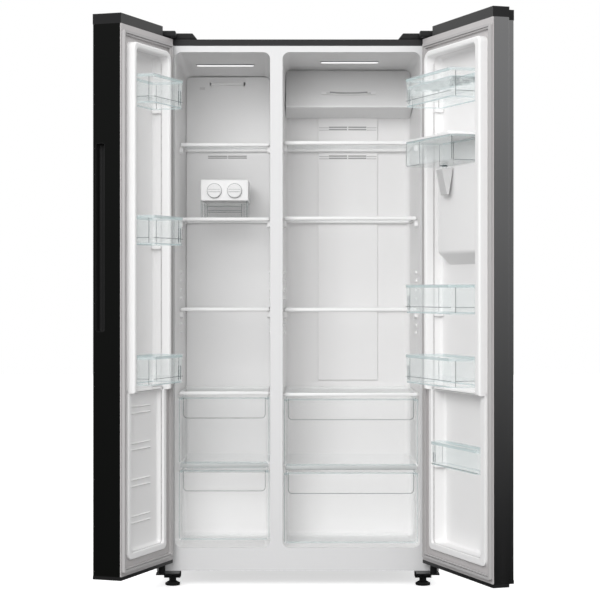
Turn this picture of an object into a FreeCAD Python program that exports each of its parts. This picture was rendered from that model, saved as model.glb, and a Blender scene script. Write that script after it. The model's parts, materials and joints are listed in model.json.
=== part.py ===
"""Side by side refrigerator: cabinet, two swinging doors, drawers, bins and cooling parts.

The frame stands on the floor: Z is up, X runs to the right along the front,
and Y runs into the cabinet from its front plane. Lengths are millimetres and
angles are degrees. Both doors are drawn closed and then swung open about
their hinge pins.
"""
import FreeCAD, Part
import math
import os
import re

import Sketcher
from FreeCAD import Placement, Rotation, Vector

# Every size that can be set by itself. Derived places are formulas of these.
SIZES = {
    # cabinet
    "cabinet_width": 908,
    "cabinet_depth": 537,
    "cabinet_top": 1759,
    "cabinet_bottom": 48.6,
    "sheet": 1,
    "side_wall": 59,
    "mullion_width": 40,
    "mullion_centre": -69,
    "opening_top": 1718,
    "opening_bottom": 122,
    "sill_top": 99,
    "flange_height": 20,
    "frame_depth": 14,
    "base_plate": 3.4,
    # liners
    "liner_wall": 3,
    "liner_draft": 7,
    "freezer_depth": 494,
    "fridge_depth": 450,
    "freezer_ceiling_drop": 28,
    "fridge_ceiling_drop": 4,
    "machine_depth": 200,
    "machine_top": 290,
    "machine_insulation": 45,
    # air covers and lamps
    "cover_depth": 450,
    "cover_sheet": 3,
    "vent_width": 130,
    "vent_height": 12,
    "upper_vent_rise": 220,
    "lower_vent_drop": 32,
    "duct_left": 108,
    "duct_right": 236,
    "duct_bottom": 640,
    "duct_thickness": 10,
    "duct_lap": 5,
    "housing_nose_depth": 300,
    "housing_top_depth": 431,
    "housing_nose_height": 1571,
    "housing_rear_height": 1545,
    "lamp_width": 196,
    "lamp_size": 13,
    "lamp_height": 6,
    # shelves
    "shelf_clearance": 1,
    "glass": 4,
    "trim_height": 12,
    "trim_depth": 12,
    "ledge_width": 12,
    "ledge_height": 8,
    "ledge_setback": 10,
    "shelf_rear_gap": 3,
    "freezer_shelf_front": 175,
    "fridge_shelf_front": 97,
    "top_shelf": 1440,
    "middle_shelf": 1193,
    "low_shelf": 893.5,
    "cover_shelf": 618,
    # drawers
    "freezer_drawer_front": 130,
    "fridge_drawer_front": 54,
    "drawer_wall": 3,
    "drawer_clearance": 2.5,
    "drawer_lip": 5,
    "upper_drawer_bottom": 382,
    "upper_drawer_height": 216,
    "lower_drawer_bottom": 130,
    "lower_drawer_height": 228,
    "drawer_rear_gap": 8,
    "grip_height": 68,
    "grip_depth": 18,
    "grip_inset": 8,
    "divider_height": 14,
    # doors
    "door_gap": 5,
    "left_door_width": 383,
    "door_thickness": 94,
    "door_bottom": 79,
    "door_top": 1786,
    "door_shoulder": 1755,
    "bottom_cap": 11,
    "top_cap_plate": 4,
    "cap_wall": 3,
    "gasket_gap": 12,
    "gasket_width": 14,
    "gasket_relief": 0.5,
    "gasket_hinge_setback": 22,
    "gasket_edge": 3,
    "grip_channel_width": 53,
    "grip_channel_depth": 41,
    "pocket_bottom": 826,
    "pocket_top": 1396,
    "pocket_width": 30,
    "pocket_setback": 10,
    "pocket_depth": 28,
    "pocket_wall": 2,
    # door hinges
    "pivot_inset": 20,
    "pivot_forward": 41,
    "pin_radius": 6,
    "pin_clearance": 0.08,
    "pin_reach": 36,
    "bush_radius": 11,
    "bush_length": 40,
    "bush_floor_gap": 2,
    "hinge_plate": 4,
    "hinge_arm_width": 46,
    "hinge_arm_setback": 8,
    "hinge_arm_reach": 15,
    "hinge_rear": 90,
    "hinge_bay": 78,
    "cover_nose_reach": 20,
    "cover_nose_width": 65,
    "cover_body_width": 128,
    "cover_rear": 110,
    "cover_height": 20,
    "cover_setback": 4,
    "lower_hinge_plate": 5,
    "lower_hinge_setback": 2,
    "lower_hinge_reach": 18,
    "lower_hinge_rear": 38,
    "left_opening": 109.9,
    "right_opening": 109.4,
    # door liners
    "dyke_hinge_setback": 66,
    "dyke_free_setback": 39,
    "dyke_bar": 20,
    "right_dyke_bar": 33,
    "dyke_height": 27,
    "low_dyke_height": 8,
    "dyke_margin": 13,
    "dyke_split": 640,
    "recess_depth": 30,
    "left_low_recess": 15,
    "right_low_recess": 42,
    # door bins
    "bin_gap": 3,
    "bin_rear_gap": 2,
    "bin_wall": 3,
    "bin_skirt": 19,
    "left_bin_reach": 80,
    "right_bin_reach": 102,
    "low_bin_reach": 16,
    "bin_height": 88,
    "left_top_bin": 1520,
    "left_middle_bin": 1092,
    "left_low_bin": 663,
    "right_top_bin": 1524,
    "right_middle_bin": 881,
    "right_low_bin": 663,
    "right_bottom_bin": 404,
    "bottom_bin_height": 73,
    "boss_width": 14,
    "boss_height": 12,
    # egg tray
    "egg_radius": 20,
    "egg_tray_drop": 24,
    "egg_skirt": 30,
    "egg_tray_gap": 4,
    # dispenser
    "bulge_left": 140,
    "bulge_right": 440,
    "bulge_bottom": 1030,
    "bulge_slope": 38,
    "bulge_top": 1335,
    "bulge_rise": 10,
    "recess_side": 200,
    "recess_width": 200,
    "recess_bottom": 1075,
    "recess_top": 1320,
    "niche_depth": 80,
    "niche_wall": 2,
    "bezel_width": 12,
    "bezel_rise": 2,
    "grille_bar": 8,
    "grille_sheet": 4,
    "grille_rise": 8,
    "nozzle_radius": 8,
    "nozzle_length": 28,
    "lever_width": 44,
    "lever_height": 90,
    "lever_thickness": 4,
    "lever_pin_radius": 3,
    "lever_pin_drop": 26,
    "lever_setback": 24,
    "spout_top_width": 50,
    "spout_tip_width": 14,
    "spout_height": 86,
    "spout_drop": 6,
    "spout_reach": 40,
    # water tank
    "tank_gap": 2,
    "tank_height": 78,
    "tank_wall": 3,
    "tank_lid": 6,
    "flap_width": 90,
    "flap_depth": 52,
    "flap_thickness": 3,
    "flap_gap": 0.3,
    "flap_setback": 44,
    "flap_inset": 30,
    "flap_lap": 8,
    "flap_pin_radius": 2,
    "valve_radius": 7,
    "valve_length": 14,
    "valve_clearance": 2,
    "valve_well": 24,
    # feet and rollers
    "foot_inset": 50,
    "foot_depth": 20,
    "foot_radius": 24,
    "foot_pad": 9,
    "collar_radius": 13,
    "collar_top": 27,
    "collar_slope": 5,
    "stem_radius": 5,
    "stem_clearance": 0.08,
    "stem_top": 48,
    "bracket_half": 26,
    "bracket_sheet": 4,
    "roller_radius": 20,
    "roller_width": 24,
    "roller_depth": 490,
    "axle_radius": 5,
    "cheek": 3,
    "cheek_gap": 4,
    # ice maker
    "ice_left": -322,
    "ice_right": -165,
    "ice_front": 182,
    "ice_rear": 400,
    "ice_top": 1318,
    "ice_bottom": 1249,
    "ice_wall": 3,
    "ice_leg": 22,
    "bucket_gap": 4,
    "bucket_front_gap": 2,
    "bucket_lift": 0.5,
    "bucket_height": 46,
    "tray_pitch": 67,
    "tray_half_width": 27,
    "tray_half_height": 10,
    "tray_drop": 2,
    "tray_gap": 4,
    "cup_margin": 8,
    "cup_wall": 3,
    "knob_radius": 23,
    "knob_depth": 14,
    "knob_gap": 0.5,
    "shaft_radius": 5,
    "shaft_clearance": 0.08,
    "shaft_stub": 8,
    # machine compartment
    "compressor_radius": 78,
    "compressor_height": 160,
    "compressor_x": 120,
    "compressor_inset": 100,
    "compressor_flange": 14,
    "grommet_height": 14,
    "grommet_radius": 10,
    "condenser_left": -330,
    "condenser_length": 190,
    "condenser_bottom": 78,
    "condenser_height": 160,
    "condenser_margin": 25,
    "condenser_foot": 3,
    "fin_sheet": 1.5,
    "tube_radius": 4,
    "shroud_left": -128,
    "shroud_thickness": 26,
    "fan_radius": 62,
    "hub_radius": 16,
    "blade_sheet": 2.5,
    "blade_depth": 16,
    "fan_tip_gap": 4,
    "drip_pan_height": 18,
    "drip_pan_margin": 32,
    "drip_pan_wall": 2,
    "board_left": 290,
    "board_bottom": 110,
    "board_width": 130,
    "board_height": 150,
    "board_depth": 12,
    "relay_margin": 12,
    "relay_pitch": 30,
    "relay_width": 16,
    "relay_height": 35,
    "relay_depth": 18,
    "relay_rise": 20,
    "relay_step": 18,
    "evaporator_left": -372,
    "evaporator_length": 256,
    "evaporator_bottom": 480,
    "evaporator_height": 260,
    "evaporator_depth": 32,
    "evaporator_gap": 3,
    "cold_fan_radius": 55,
    "cold_fan_height": 900,
    "cold_fan_gap": 8,
    "inlet_x": 350,
    "inlet_height": 110,
    "inlet_radius": 5.5,
    "inlet_wall": 6,
    "inlet_length": 14,
    "rear_vent_width": 46,
    "rear_vent_height": 6,
    "rear_vent_left": -390,
    "rear_vent_bottom": 112,
    "rear_vent_gap": 10,
    "rear_vent_pitch": 36,
}

# Formulas for the places that many pieces share.
LEFT = "(-cabinet_width / 2)"
RIGHT = "(cabinet_width / 2)"
FREEZER_LEFT = f"({LEFT} + side_wall)"
FREEZER_RIGHT = "(mullion_centre - mullion_width / 2)"
FRIDGE_LEFT = "(mullion_centre + mullion_width / 2)"
FRIDGE_RIGHT = f"({RIGHT} - side_wall)"
FRAME_TOP = "(opening_top + flange_height)"
FLOOR_TOP = "(cabinet_bottom + base_plate)"
MACHINE_FRONT = "(cabinet_depth - machine_depth)"
STEP_FRONT = f"({MACHINE_FRONT} - machine_insulation)"
STEP_TOP = "(machine_top + machine_insulation)"
REAR = "(cabinet_depth - sheet)"
RIGHT_DOOR_WIDTH = "(cabinet_width - left_door_width - door_gap)"
LINER_BOTTOM = "(door_bottom + bottom_cap)"
DYKE_BOTTOM = "(opening_bottom + dyke_margin)"
DYKE_TOP = "(opening_top - dyke_margin)"
PIVOT_Y = "(-pivot_forward)"
AXIS_TURN = {
    "x": Rotation(Vector(0, 1, 0), 90),
    "y": Rotation(Vector(1, 0, 0), -90),
    "z": Rotation(),
}

doc = FreeCAD.newDocument("refrigerator")
sheet = doc.addObject("Spreadsheet::Sheet", "Sizes")
for row, (alias, number) in enumerate(SIZES.items(), start=1):
    sheet.set(f"A{row}", str(number))
    sheet.setAlias(f"A{row}", alias)
doc.recompute()

nodes = []


# ---------------------------------------------------------------- helpers

def bound(formula):
    """The formula with every size name pointing at its cell."""
    return re.sub(r"[a-z][a-z_0-9]*", lambda word: "Sizes." + word.group(), str(formula))


def size(name):
    """The present value of one cell."""
    return float(sheet.get(name))


def block(x, y, z):
    """A box between two planes on each axis."""
    box = doc.addObject("Part::Box", "Block")
    for axis, side, (low, high) in (("x", "Length", x), ("y", "Width", y), ("z", "Height", z)):
        box.setExpression(f"Placement.Base.{axis}", bound(low))
        box.setExpression(side, bound(f"({high}) - ({low})"))
    return box


def wedge(front, rear, y):
    """A box whose rear rectangle differs from its front one; each is (x span, z span)."""
    taper = doc.addObject("Part::Wedge", "Taper")
    limits = {
        "Xmin": front[0][0], "Xmax": front[0][1], "Zmin": front[1][0], "Zmax": front[1][1],
        "X2min": rear[0][0], "X2max": rear[0][1], "Z2min": rear[1][0], "Z2max": rear[1][1],
        "Ymin": y[0], "Ymax": y[1],
    }
    for side, formula in limits.items():
        taper.setExpression(side, bound(formula))
    return taper


def rod(axis, centre, span, radius):
    """A cylinder along one axis; centre gives the other two coordinates, in order."""
    cylinder = doc.addObject("Part::Cylinder", "Rod")
    cylinder.Placement = Placement(Vector(), AXIS_TURN[axis])
    others = [name for name in "xyz" if name != axis]
    for name, formula in zip(others, centre):
        cylinder.setExpression(f"Placement.Base.{name}", bound(formula))
    cylinder.setExpression(f"Placement.Base.{axis}", bound(span[0]))
    cylinder.setExpression("Height", bound(f"({span[1]}) - ({span[0]})"))
    cylinder.setExpression("Radius", bound(radius))
    return cylinder


def outline(sketch, corners):
    """A closed polygon whose corners are pairs of formulas."""
    count = len(corners)
    turn = 2 * math.pi / count
    start = [Vector(math.cos(turn * i), math.sin(turn * i), 0) * 100 for i in range(count)]
    for i in range(count):
        sketch.addGeometry(Part.LineSegment(start[i], start[(i + 1) % count]), False)
    for i in range(count):
        sketch.addConstraint(Sketcher.Constraint("Coincident", i, 2, (i + 1) % count, 1))
    for i, (across, along) in enumerate(corners):
        index = sketch.addConstraint(Sketcher.Constraint("DistanceX", -1, 1, i, 1, start[i].x))
        sketch.setExpression(f"Constraints[{index}]", bound(across))
        index = sketch.addConstraint(Sketcher.Constraint("DistanceY", -1, 1, i, 1, start[i].y))
        sketch.setExpression(f"Constraints[{index}]", bound(along))


def side_prism(corners, x):
    """A polygon of (y, z) corners, carried along X between two planes."""
    sketch = doc.addObject("Sketcher::SketchObject", "SideOutline")
    outline(sketch, corners)
    sketch.Placement = Placement(Vector(), Rotation(Vector(1, 1, 1), 120))
    sketch.setExpression("Placement.Base.x", bound(x[0]))
    bar = doc.addObject("Part::Extrusion", "Prism")
    bar.Base = sketch
    bar.DirMode = "Custom"
    bar.Dir = Vector(1, 0, 0)
    bar.Solid = True
    bar.setExpression("LengthFwd", bound(f"({x[1]}) - ({x[0]})"))
    return bar


def front_prism(corners, y):
    """A polygon of (x, z) corners, carried along Y between two planes."""
    sketch = doc.addObject("Sketcher::SketchObject", "FrontOutline")
    outline(sketch, corners)
    sketch.Placement = Placement(Vector(), Rotation(Vector(1, 0, 0), 90))
    sketch.setExpression("Placement.Base.y", bound(y[0]))
    bar = doc.addObject("Part::Extrusion", "Prism")
    bar.Base = sketch
    bar.DirMode = "Custom"
    bar.Dir = Vector(0, 1, 0)
    bar.Solid = True
    bar.setExpression("LengthFwd", bound(f"({y[1]}) - ({y[0]})"))
    return bar


def joined(pieces, name="Joined"):
    """Several shapes as one."""
    fuse = doc.addObject("Part::MultiFuse", name)
    fuse.Shapes = pieces
    fuse.Refine = True
    return fuse


def cut(base, tools):
    """The base without the tools."""
    rest = doc.addObject("Part::Cut", "Cut")
    rest.Base = base
    rest.Tool = tools[0] if len(tools) == 1 else joined(tools)
    return rest


def common(first, second):
    """What two shapes share."""
    shared = doc.addObject("Part::Common", "Common")
    shared.Base = first
    shared.Tool = second
    return shared


def node(name, shape, placement=None):
    """Name a finished sub-part and put it in its place."""
    shape.Label = name
    if placement is not None:
        shape.Placement = placement
    nodes.append(shape)
    return shape


def turned_body(name, corners):
    """A body of revolution about the Z axis from (radius, height) corners."""
    body = doc.addObject("PartDesign::Body", name)
    sketch = body.newObject("Sketcher::SketchObject", "Profile")
    plane = [item for item in body.Origin.OriginFeatures if item.Role == "XZ_Plane"][0]
    sketch.AttachmentSupport = [(plane, "")]
    sketch.MapMode = "FlatFace"
    outline(sketch, corners)
    turn = body.newObject("PartDesign::Revolution", "Turn")
    turn.Profile = sketch
    turn.ReferenceAxis = (sketch, ["V_Axis"])
    turn.Angle = 360
    doc.recompute()
    return body


def fan_body(name, radius, depth):
    """A hub with five flat blades about the Z axis."""
    body = doc.addObject("PartDesign::Body", name)
    plane = [item for item in body.Origin.OriginFeatures if item.Role == "XY_Plane"][0]
    axis = [item for item in body.Origin.OriginFeatures if item.Role == "Z_Axis"][0]
    hub_sketch = body.newObject("Sketcher::SketchObject", "HubCircle")
    hub_sketch.AttachmentSupport = [(plane, "")]
    hub_sketch.MapMode = "FlatFace"
    hub_sketch.addGeometry(Part.Circle(Vector(), Vector(0, 0, 1), size("hub_radius")), False)
    hub_sketch.addConstraint(Sketcher.Constraint("Coincident", 0, 3, -1, 1))
    ring = hub_sketch.addConstraint(Sketcher.Constraint("Radius", 0, size("hub_radius")))
    hub_sketch.setExpression(f"Constraints[{ring}]", bound("hub_radius"))
    hub = body.newObject("PartDesign::Pad", "Hub")
    hub.Profile = hub_sketch
    hub.setExpression("Length", bound(depth))
    blade_sketch = body.newObject("Sketcher::SketchObject", "BladeOutline")
    blade_sketch.AttachmentSupport = [(plane, "")]
    blade_sketch.MapMode = "FlatFace"
    half = "blade_sheet / 2"
    outline(blade_sketch, [
        ("hub_radius / 2", f"-{half}"), (radius, f"-{half}"), (radius, half), ("hub_radius / 2", half),
    ])
    blade = body.newObject("PartDesign::Pad", "Blade")
    blade.Profile = blade_sketch
    blade.setExpression("Length", bound(depth))
    pattern = body.newObject("PartDesign::PolarPattern", "Blades")
    pattern.Originals = [blade]
    pattern.Axis = (axis, [""])
    pattern.Angle = 360
    pattern.Occurrences = 5
    body.Tip = pattern
    doc.recompute()
    return body


def tub(x, y, z, wall, floor):
    """An open box whose floor stands above its lower edge, with a skirt below."""
    inner_x = (f"({x[0]}) + {wall}", f"({x[1]}) - {wall}")
    inner_y = (f"({y[0]}) + {wall}", f"({y[1]}) - {wall}")
    inside = block(inner_x, inner_y, (f"({z[0]}) + {floor} + {wall}", f"({z[1]}) + 1"))
    below = block(inner_x, inner_y, (f"({z[0]}) - 1", f"({z[0]}) + {floor}"))
    return cut(block(x, y, z), [inside, below])


class Door:
    """Coordinates of one closed door: u from its hinge side, w inwards from its inner face."""

    def __init__(self, name, width, opening):
        self.name = name
        self.width = width
        self.opening = opening
        self.left = name == "left"

    def x(self, span):
        low, high = span
        if self.left:
            return f"{LEFT} + ({low})", f"{LEFT} + ({high})"
        return f"{RIGHT} - ({high})", f"{RIGHT} - ({low})"

    def at(self, u):
        return f"{LEFT} + ({u})" if self.left else f"{RIGHT} - ({u})"

    def y(self, span):
        return tuple(f"({place}) - gasket_gap" for place in span)

    def block(self, u, w, z):
        return block(self.x(u), self.y(w), z)

    def swung(self):
        """The placement that swings a closed piece open about the hinge pins."""
        side = -1 if self.left else 1
        reach = size("cabinet_width") / 2 - size("pivot_inset")
        pivot = Vector(side * reach, -size("pivot_forward"), 0)
        turn = Rotation(Vector(0, 0, 1), side * size(self.opening))
        return Placement(Vector(), turn, pivot)

    def node(self, name, shape):
        return node(name, shape, self.swung())


LEFT_DOOR = Door("left", "left_door_width", "left_opening")
RIGHT_DOOR = Door("right", RIGHT_DOOR_WIDTH, "right_opening")


# ---------------------------------------------------------------- cabinet

def compartment(side, extra="0"):
    """The tapered inside of one compartment, grown by extra on every wall."""
    if side == "freezer":
        left, right = FREEZER_LEFT, FREEZER_RIGHT
    else:
        left, right = FRIDGE_LEFT, FRIDGE_RIGHT
    depth = f"{side}_depth"
    drop = f"{side}_ceiling_drop"
    front_z = (f"opening_bottom - {extra}", f"opening_top + {extra}")
    rear_z = (f"opening_bottom - {extra}", f"opening_top - {drop} + {extra}")
    front = ((f"{left} - {extra}", f"{right} + {extra}"), front_z)
    rear = ((f"{left} + liner_draft - {extra}", f"{right} - liner_draft + {extra}"), rear_z)
    space = wedge(front, rear, ("frame_depth", f"{depth} + {extra}"))
    step = block(
        (f"{left} - 20", f"{right} + 20"),
        (f"{STEP_FRONT} + {extra}", f"{depth} + 20"),
        ("opening_bottom - 20", f"{STEP_TOP} - {extra}"),
    )
    return cut(space, [step])


def shelf_levels(side):
    """Front depth and the heights of the shelf tops of one compartment."""
    return f"{side}_shelf_front", ["top_shelf", "middle_shelf", "low_shelf"]


def inner_span(side):
    """The X span that fits between the walls of one compartment at their rear."""
    left, right = (FREEZER_LEFT, FREEZER_RIGHT) if side == "freezer" else (FRIDGE_LEFT, FRIDGE_RIGHT)
    return f"{left} + liner_draft + shelf_clearance", f"{right} - liner_draft - shelf_clearance"


def liner(side):
    """A thin tapered shell with a ledge on each wall under every shelf and upper drawer."""
    left, right = (FREEZER_LEFT, FREEZER_RIGHT) if side == "freezer" else (FRIDGE_LEFT, FRIDGE_RIGHT)
    front, tops = shelf_levels(side)
    ledges = []
    levels = [(f"{top} - glass", front) for top in tops]
    levels.append(("cover_shelf - glass", f"{side}_drawer_front"))
    levels.append(("upper_drawer_bottom", f"{side}_drawer_front + grip_depth"))
    for level, start in levels:
        for low, high in ((left, f"{left} + ledge_width"), (f"{right} - ledge_width", right)):
            ledges.append(block(
                (low, high),
                (f"{start} + trim_depth + ledge_setback", "fridge_depth - ledge_setback"),
                (f"{level} - ledge_height", level),
            ))
    inside = compartment(side)
    shell = cut(compartment(side, "liner_wall"), [inside])
    supports = common(joined(ledges), compartment(side))
    return node(f"{side}_liner", joined([shell, supports]))


def make_cabinet():
    skin = f"{LEFT} + sheet", f"{RIGHT} - sheet"
    depth = ("0", REAR)
    full_height = ("cabinet_bottom", "cabinet_top")
    lip = block(skin, ("0", "sheet"), (FRAME_TOP, "cabinet_top - sheet"))
    sides = [
        block((LEFT, f"{LEFT} + sheet"), depth, full_height),
        block((f"{RIGHT} - sheet", RIGHT), depth, full_height),
    ]
    roof = block(skin, depth, ("cabinet_top - sheet", "cabinet_top"))
    node("outer_wrapper", joined([*sides, roof, lip]))
    node("back_panel", block((LEFT, RIGHT), (REAR, "cabinet_depth"), ("machine_top", "cabinet_top")))

    openings = [
        block((low, high), ("-1", "frame_depth + 1"), ("opening_bottom", "opening_top"))
        for low, high in ((FREEZER_LEFT, FREEZER_RIGHT), (FRIDGE_LEFT, FRIDGE_RIGHT))
    ]
    plate = block(skin, ("0", "frame_depth"), ("sill_top", FRAME_TOP))
    node("front_frame", cut(plate, openings))
    node("base_cover", block(skin, ("0", "frame_depth"), ("cabinet_bottom", "sill_top")))
    liner("freezer")
    liner("fridge")

    hull = block(skin, ("frame_depth", REAR), (FLOOR_TOP, "cabinet_top - sheet"))
    machine_room = block(
        (LEFT, RIGHT), (f"{MACHINE_FRONT} - sheet", "cabinet_depth"), ("0", "machine_top + sheet"),
    )
    insides = [compartment("freezer", "liner_wall"), compartment("fridge", "liner_wall")]
    room = cut(hull, [*insides, machine_room])
    filler = block(skin, ("sheet", "frame_depth"), (FRAME_TOP, "cabinet_top - sheet"))
    node("foam_insulation", joined([room, filler]))


def foot_x(side):
    return f"{side} * (cabinet_width / 2 - foot_inset)"


def make_base():
    """The base plate, the deck over the machine compartment and the roller cheeks."""
    skin = f"{LEFT} + sheet", f"{RIGHT} - sheet"
    plate = block(skin, ("frame_depth", REAR), ("cabinet_bottom", FLOOR_TOP))
    wall = block(skin, (f"{MACHINE_FRONT} - sheet", MACHINE_FRONT), (FLOOR_TOP, "machine_top + sheet"))
    deck = block(skin, (MACHINE_FRONT, REAR), ("machine_top", "machine_top + sheet"))
    cheeks = []
    for side in (-1, 1):
        centre = foot_x(side)
        for lean in (-1, 1):
            near = f"{centre} + {lean} * (roller_width / 2 + cheek_gap)"
            far = f"{near} + {lean} * cheek"
            span = (near, far) if lean > 0 else (far, near)
            cheeks.append(block(
                span,
                ("roller_depth - roller_radius", "roller_depth + roller_radius"),
                ("roller_radius / 2", "cabinet_bottom"),
            ))
    bore = rod("x", ("roller_depth", "roller_radius"), (LEFT, RIGHT), "axle_radius + stem_clearance")
    frame = joined([plate, wall, deck, *cheeks])
    node("base_frame", cut(frame, [bore]))

    wheels = []
    for side in (-1, 1):
        centre = foot_x(side)
        wheels.append(rod(
            "x", ("roller_depth", "roller_radius"),
            (f"{centre} - roller_width / 2", f"{centre} + roller_width / 2"), "roller_radius",
        ))
        reach = "(roller_width / 2 + cheek_gap + cheek)"
        wheels.append(rod(
            "x", ("roller_depth", "roller_radius"),
            (f"{centre} - {reach}", f"{centre} + {reach}"), "axle_radius",
        ))
    node("rear_rollers", joined(wheels))

    for name, side in (("left", -1), ("right", 1)):
        foot = turned_body(f"front_foot_{name}", [
            ("0", "0"), ("foot_radius", "0"), ("foot_radius", "foot_pad"),
            ("collar_radius", "foot_pad + collar_slope"),
            ("collar_radius", "collar_top"), ("stem_radius", "collar_top"), ("stem_radius", "stem_top"),
            ("0", "stem_top"),
        ])
        place = Vector(side * (size("cabinet_width") / 2 - size("foot_inset")), size("foot_depth"), 0)
        node(f"front_foot_{name}", foot, Placement(place, Rotation()))


def make_air_parts():
    """Rear covers, lamps, evaporator and its fan."""
    span = inner_span("freezer")
    depth = ("cover_depth", "cover_depth + cover_sheet")
    middle = f"({FREEZER_LEFT} + {FREEZER_RIGHT}) / 2"
    vent = (f"{middle} - vent_width / 2", f"{middle} + vent_width / 2")
    slots = [
        block(vent, ("cover_depth - 1", "cover_depth + cover_sheet + 1"), (low, f"{low} + vent_height"))
        for low in ("top_shelf + upper_vent_rise", "top_shelf - lower_vent_drop")
    ]
    plate = block(span, depth, (STEP_TOP, "opening_top - freezer_ceiling_drop"))
    node("evaporator_cover", cut(plate, slots))

    housing = side_prism([
        ("housing_top_depth", "opening_top - fridge_ceiling_drop"),
        ("housing_nose_depth", "housing_nose_height"),
        ("fridge_depth", "housing_rear_height"),
        ("fridge_depth", "opening_top - fridge_ceiling_drop"),
    ], inner_span("fridge"))
    column = block(
        ("duct_left", "duct_right"),
        ("fridge_depth - duct_thickness", "fridge_depth"),
        ("duct_bottom", "housing_rear_height + duct_lap"),
    )
    node("fridge_air_duct", joined([housing, column]))

    lamps = []
    fridge_middle = f"({FRIDGE_LEFT} + {FRIDGE_RIGHT}) / 2"
    along = "(cover_depth / 2)"
    for centre, side in ((middle, "freezer"), (fridge_middle, "fridge")):
        slope = f"{side}_ceiling_drop / ({side}_depth - frame_depth)"
        top = f"opening_top - ({along} + lamp_size / 2 - frame_depth) * {slope}"
        lamps.append(block(
            (f"{centre} - lamp_width / 2", f"{centre} + lamp_width / 2"),
            (f"{along} - lamp_size / 2", f"{along} + lamp_size / 2"),
            (f"{top} - lamp_height", top),
        ))
    node("ceiling_lamps", joined(lamps))

    fins = []
    fin_count = 20
    front = "cover_depth + cover_sheet + evaporator_gap"
    cold = (front, f"{front} + evaporator_depth")
    height = ("evaporator_bottom", "evaporator_bottom + evaporator_height")
    for index in range(fin_count):
        low = f"evaporator_left + {index} * (evaporator_length - fin_sheet) / {fin_count - 1}"
        fins.append(block((low, f"{low} + fin_sheet"), cold, height))
    tube_count = 5
    for index in range(tube_count):
        level = f"evaporator_bottom + evaporator_height * {index + 1} / {tube_count + 1}"
        fins.append(rod("x", (f"{cold[0]} + evaporator_depth / 2", level),
                        ("evaporator_left", "evaporator_left + evaporator_length"), "tube_radius"))
    node("evaporator", joined(fins))

    fan = fan_body("evaporator_fan", "cold_fan_radius", "blade_depth")
    middle_x = (-size("cabinet_width") / 2 + size("side_wall")
                + size("mullion_centre") - size("mullion_width") / 2) / 2
    rear = size("cover_depth") + size("cover_sheet") + size("cold_fan_gap") + size("blade_depth")
    place = Vector(middle_x, rear, size("cold_fan_height"))
    node("evaporator_fan", fan, Placement(place, Rotation(Vector(1, 0, 0), 90)))


def make_shelves():
    """Glass plates, their front trims and the bars between the drawers."""
    plates = []
    trims = []
    for side in ("freezer", "fridge"):
        front, tops = shelf_levels(side)
        span = inner_span(side)
        levels = [(top, front) for top in tops] + [("cover_shelf", f"{side}_drawer_front")]
        for top, start in levels:
            depth = (f"{start} + trim_depth", f"{side_rear(side)} - shelf_rear_gap")
            plates.append(block(span, depth, (f"{top} - glass", top)))
            trims.append(block(span, (start, f"{start} + trim_depth"), (f"{top} - trim_height", top)))
        bar_top = "upper_drawer_bottom - shelf_clearance"
        start = f"{side}_drawer_front + drawer_lip"
        trims.append(block(span, (start, f"{start} + trim_depth"), (f"{bar_top} - divider_height", bar_top)))
    node("glass_shelves", joined(plates))
    node("shelf_trims", joined(trims))


def side_rear(side):
    """Depth of the wall behind the shelves of one compartment."""
    return "cover_depth" if side == "freezer" else "(fridge_depth - duct_thickness)"


def make_drawers():
    """Four clear drawers, each with a grip pocket sunk in its front."""
    for side in ("freezer", "fridge"):
        left, right = (FREEZER_LEFT, FREEZER_RIGHT) if side == "freezer" else (FRIDGE_LEFT, FRIDGE_RIGHT)
        front = f"{side}_drawer_front"
        body_x = (f"{left} + liner_draft + drawer_clearance", f"{right} - liner_draft - drawer_clearance")
        lip_x = (f"{body_x[0]} - drawer_lip", f"{body_x[1]} + drawer_lip")
        for level in ("upper", "lower"):
            bottom = f"({level}_drawer_bottom)"
            top = f"({bottom} + {level}_drawer_height)"
            wall = side_rear(side) if level == "upper" else STEP_FRONT
            rear = f"({wall} - drawer_rear_gap)"
            outside = block(body_x, (front, rear), (bottom, top))
            lip = block(lip_x, (front, f"{front} + drawer_wall"), (bottom, top))
            inside = block(
                (f"{body_x[0]} + drawer_wall", f"{body_x[1]} - drawer_wall"),
                (f"{front} + drawer_wall", f"{rear} - drawer_wall"),
                (f"{bottom} + drawer_wall", f"{top} + 1"),
            )
            grip_x = (f"{body_x[0]} + grip_inset", f"{body_x[1]} - grip_inset")
            pocket_back = block(
                (f"{grip_x[0]} - drawer_wall", f"{grip_x[1]} + drawer_wall"),
                (front, f"{front} + grip_depth + drawer_wall"),
                (f"{top} - grip_height - drawer_wall", top),
            )
            pocket_depth = (f"{front} - 1", f"{front} + grip_depth")
            pocket = block(grip_x, pocket_depth, (f"{top} - grip_height", f"{top} + 1"))
            open_box = cut(joined([outside, lip]), [inside])
            node(f"{side}_{level}_drawer", cut(joined([open_box, pocket_back]), [pocket]))


# ---------------------------------------------------------------- hinges

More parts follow.
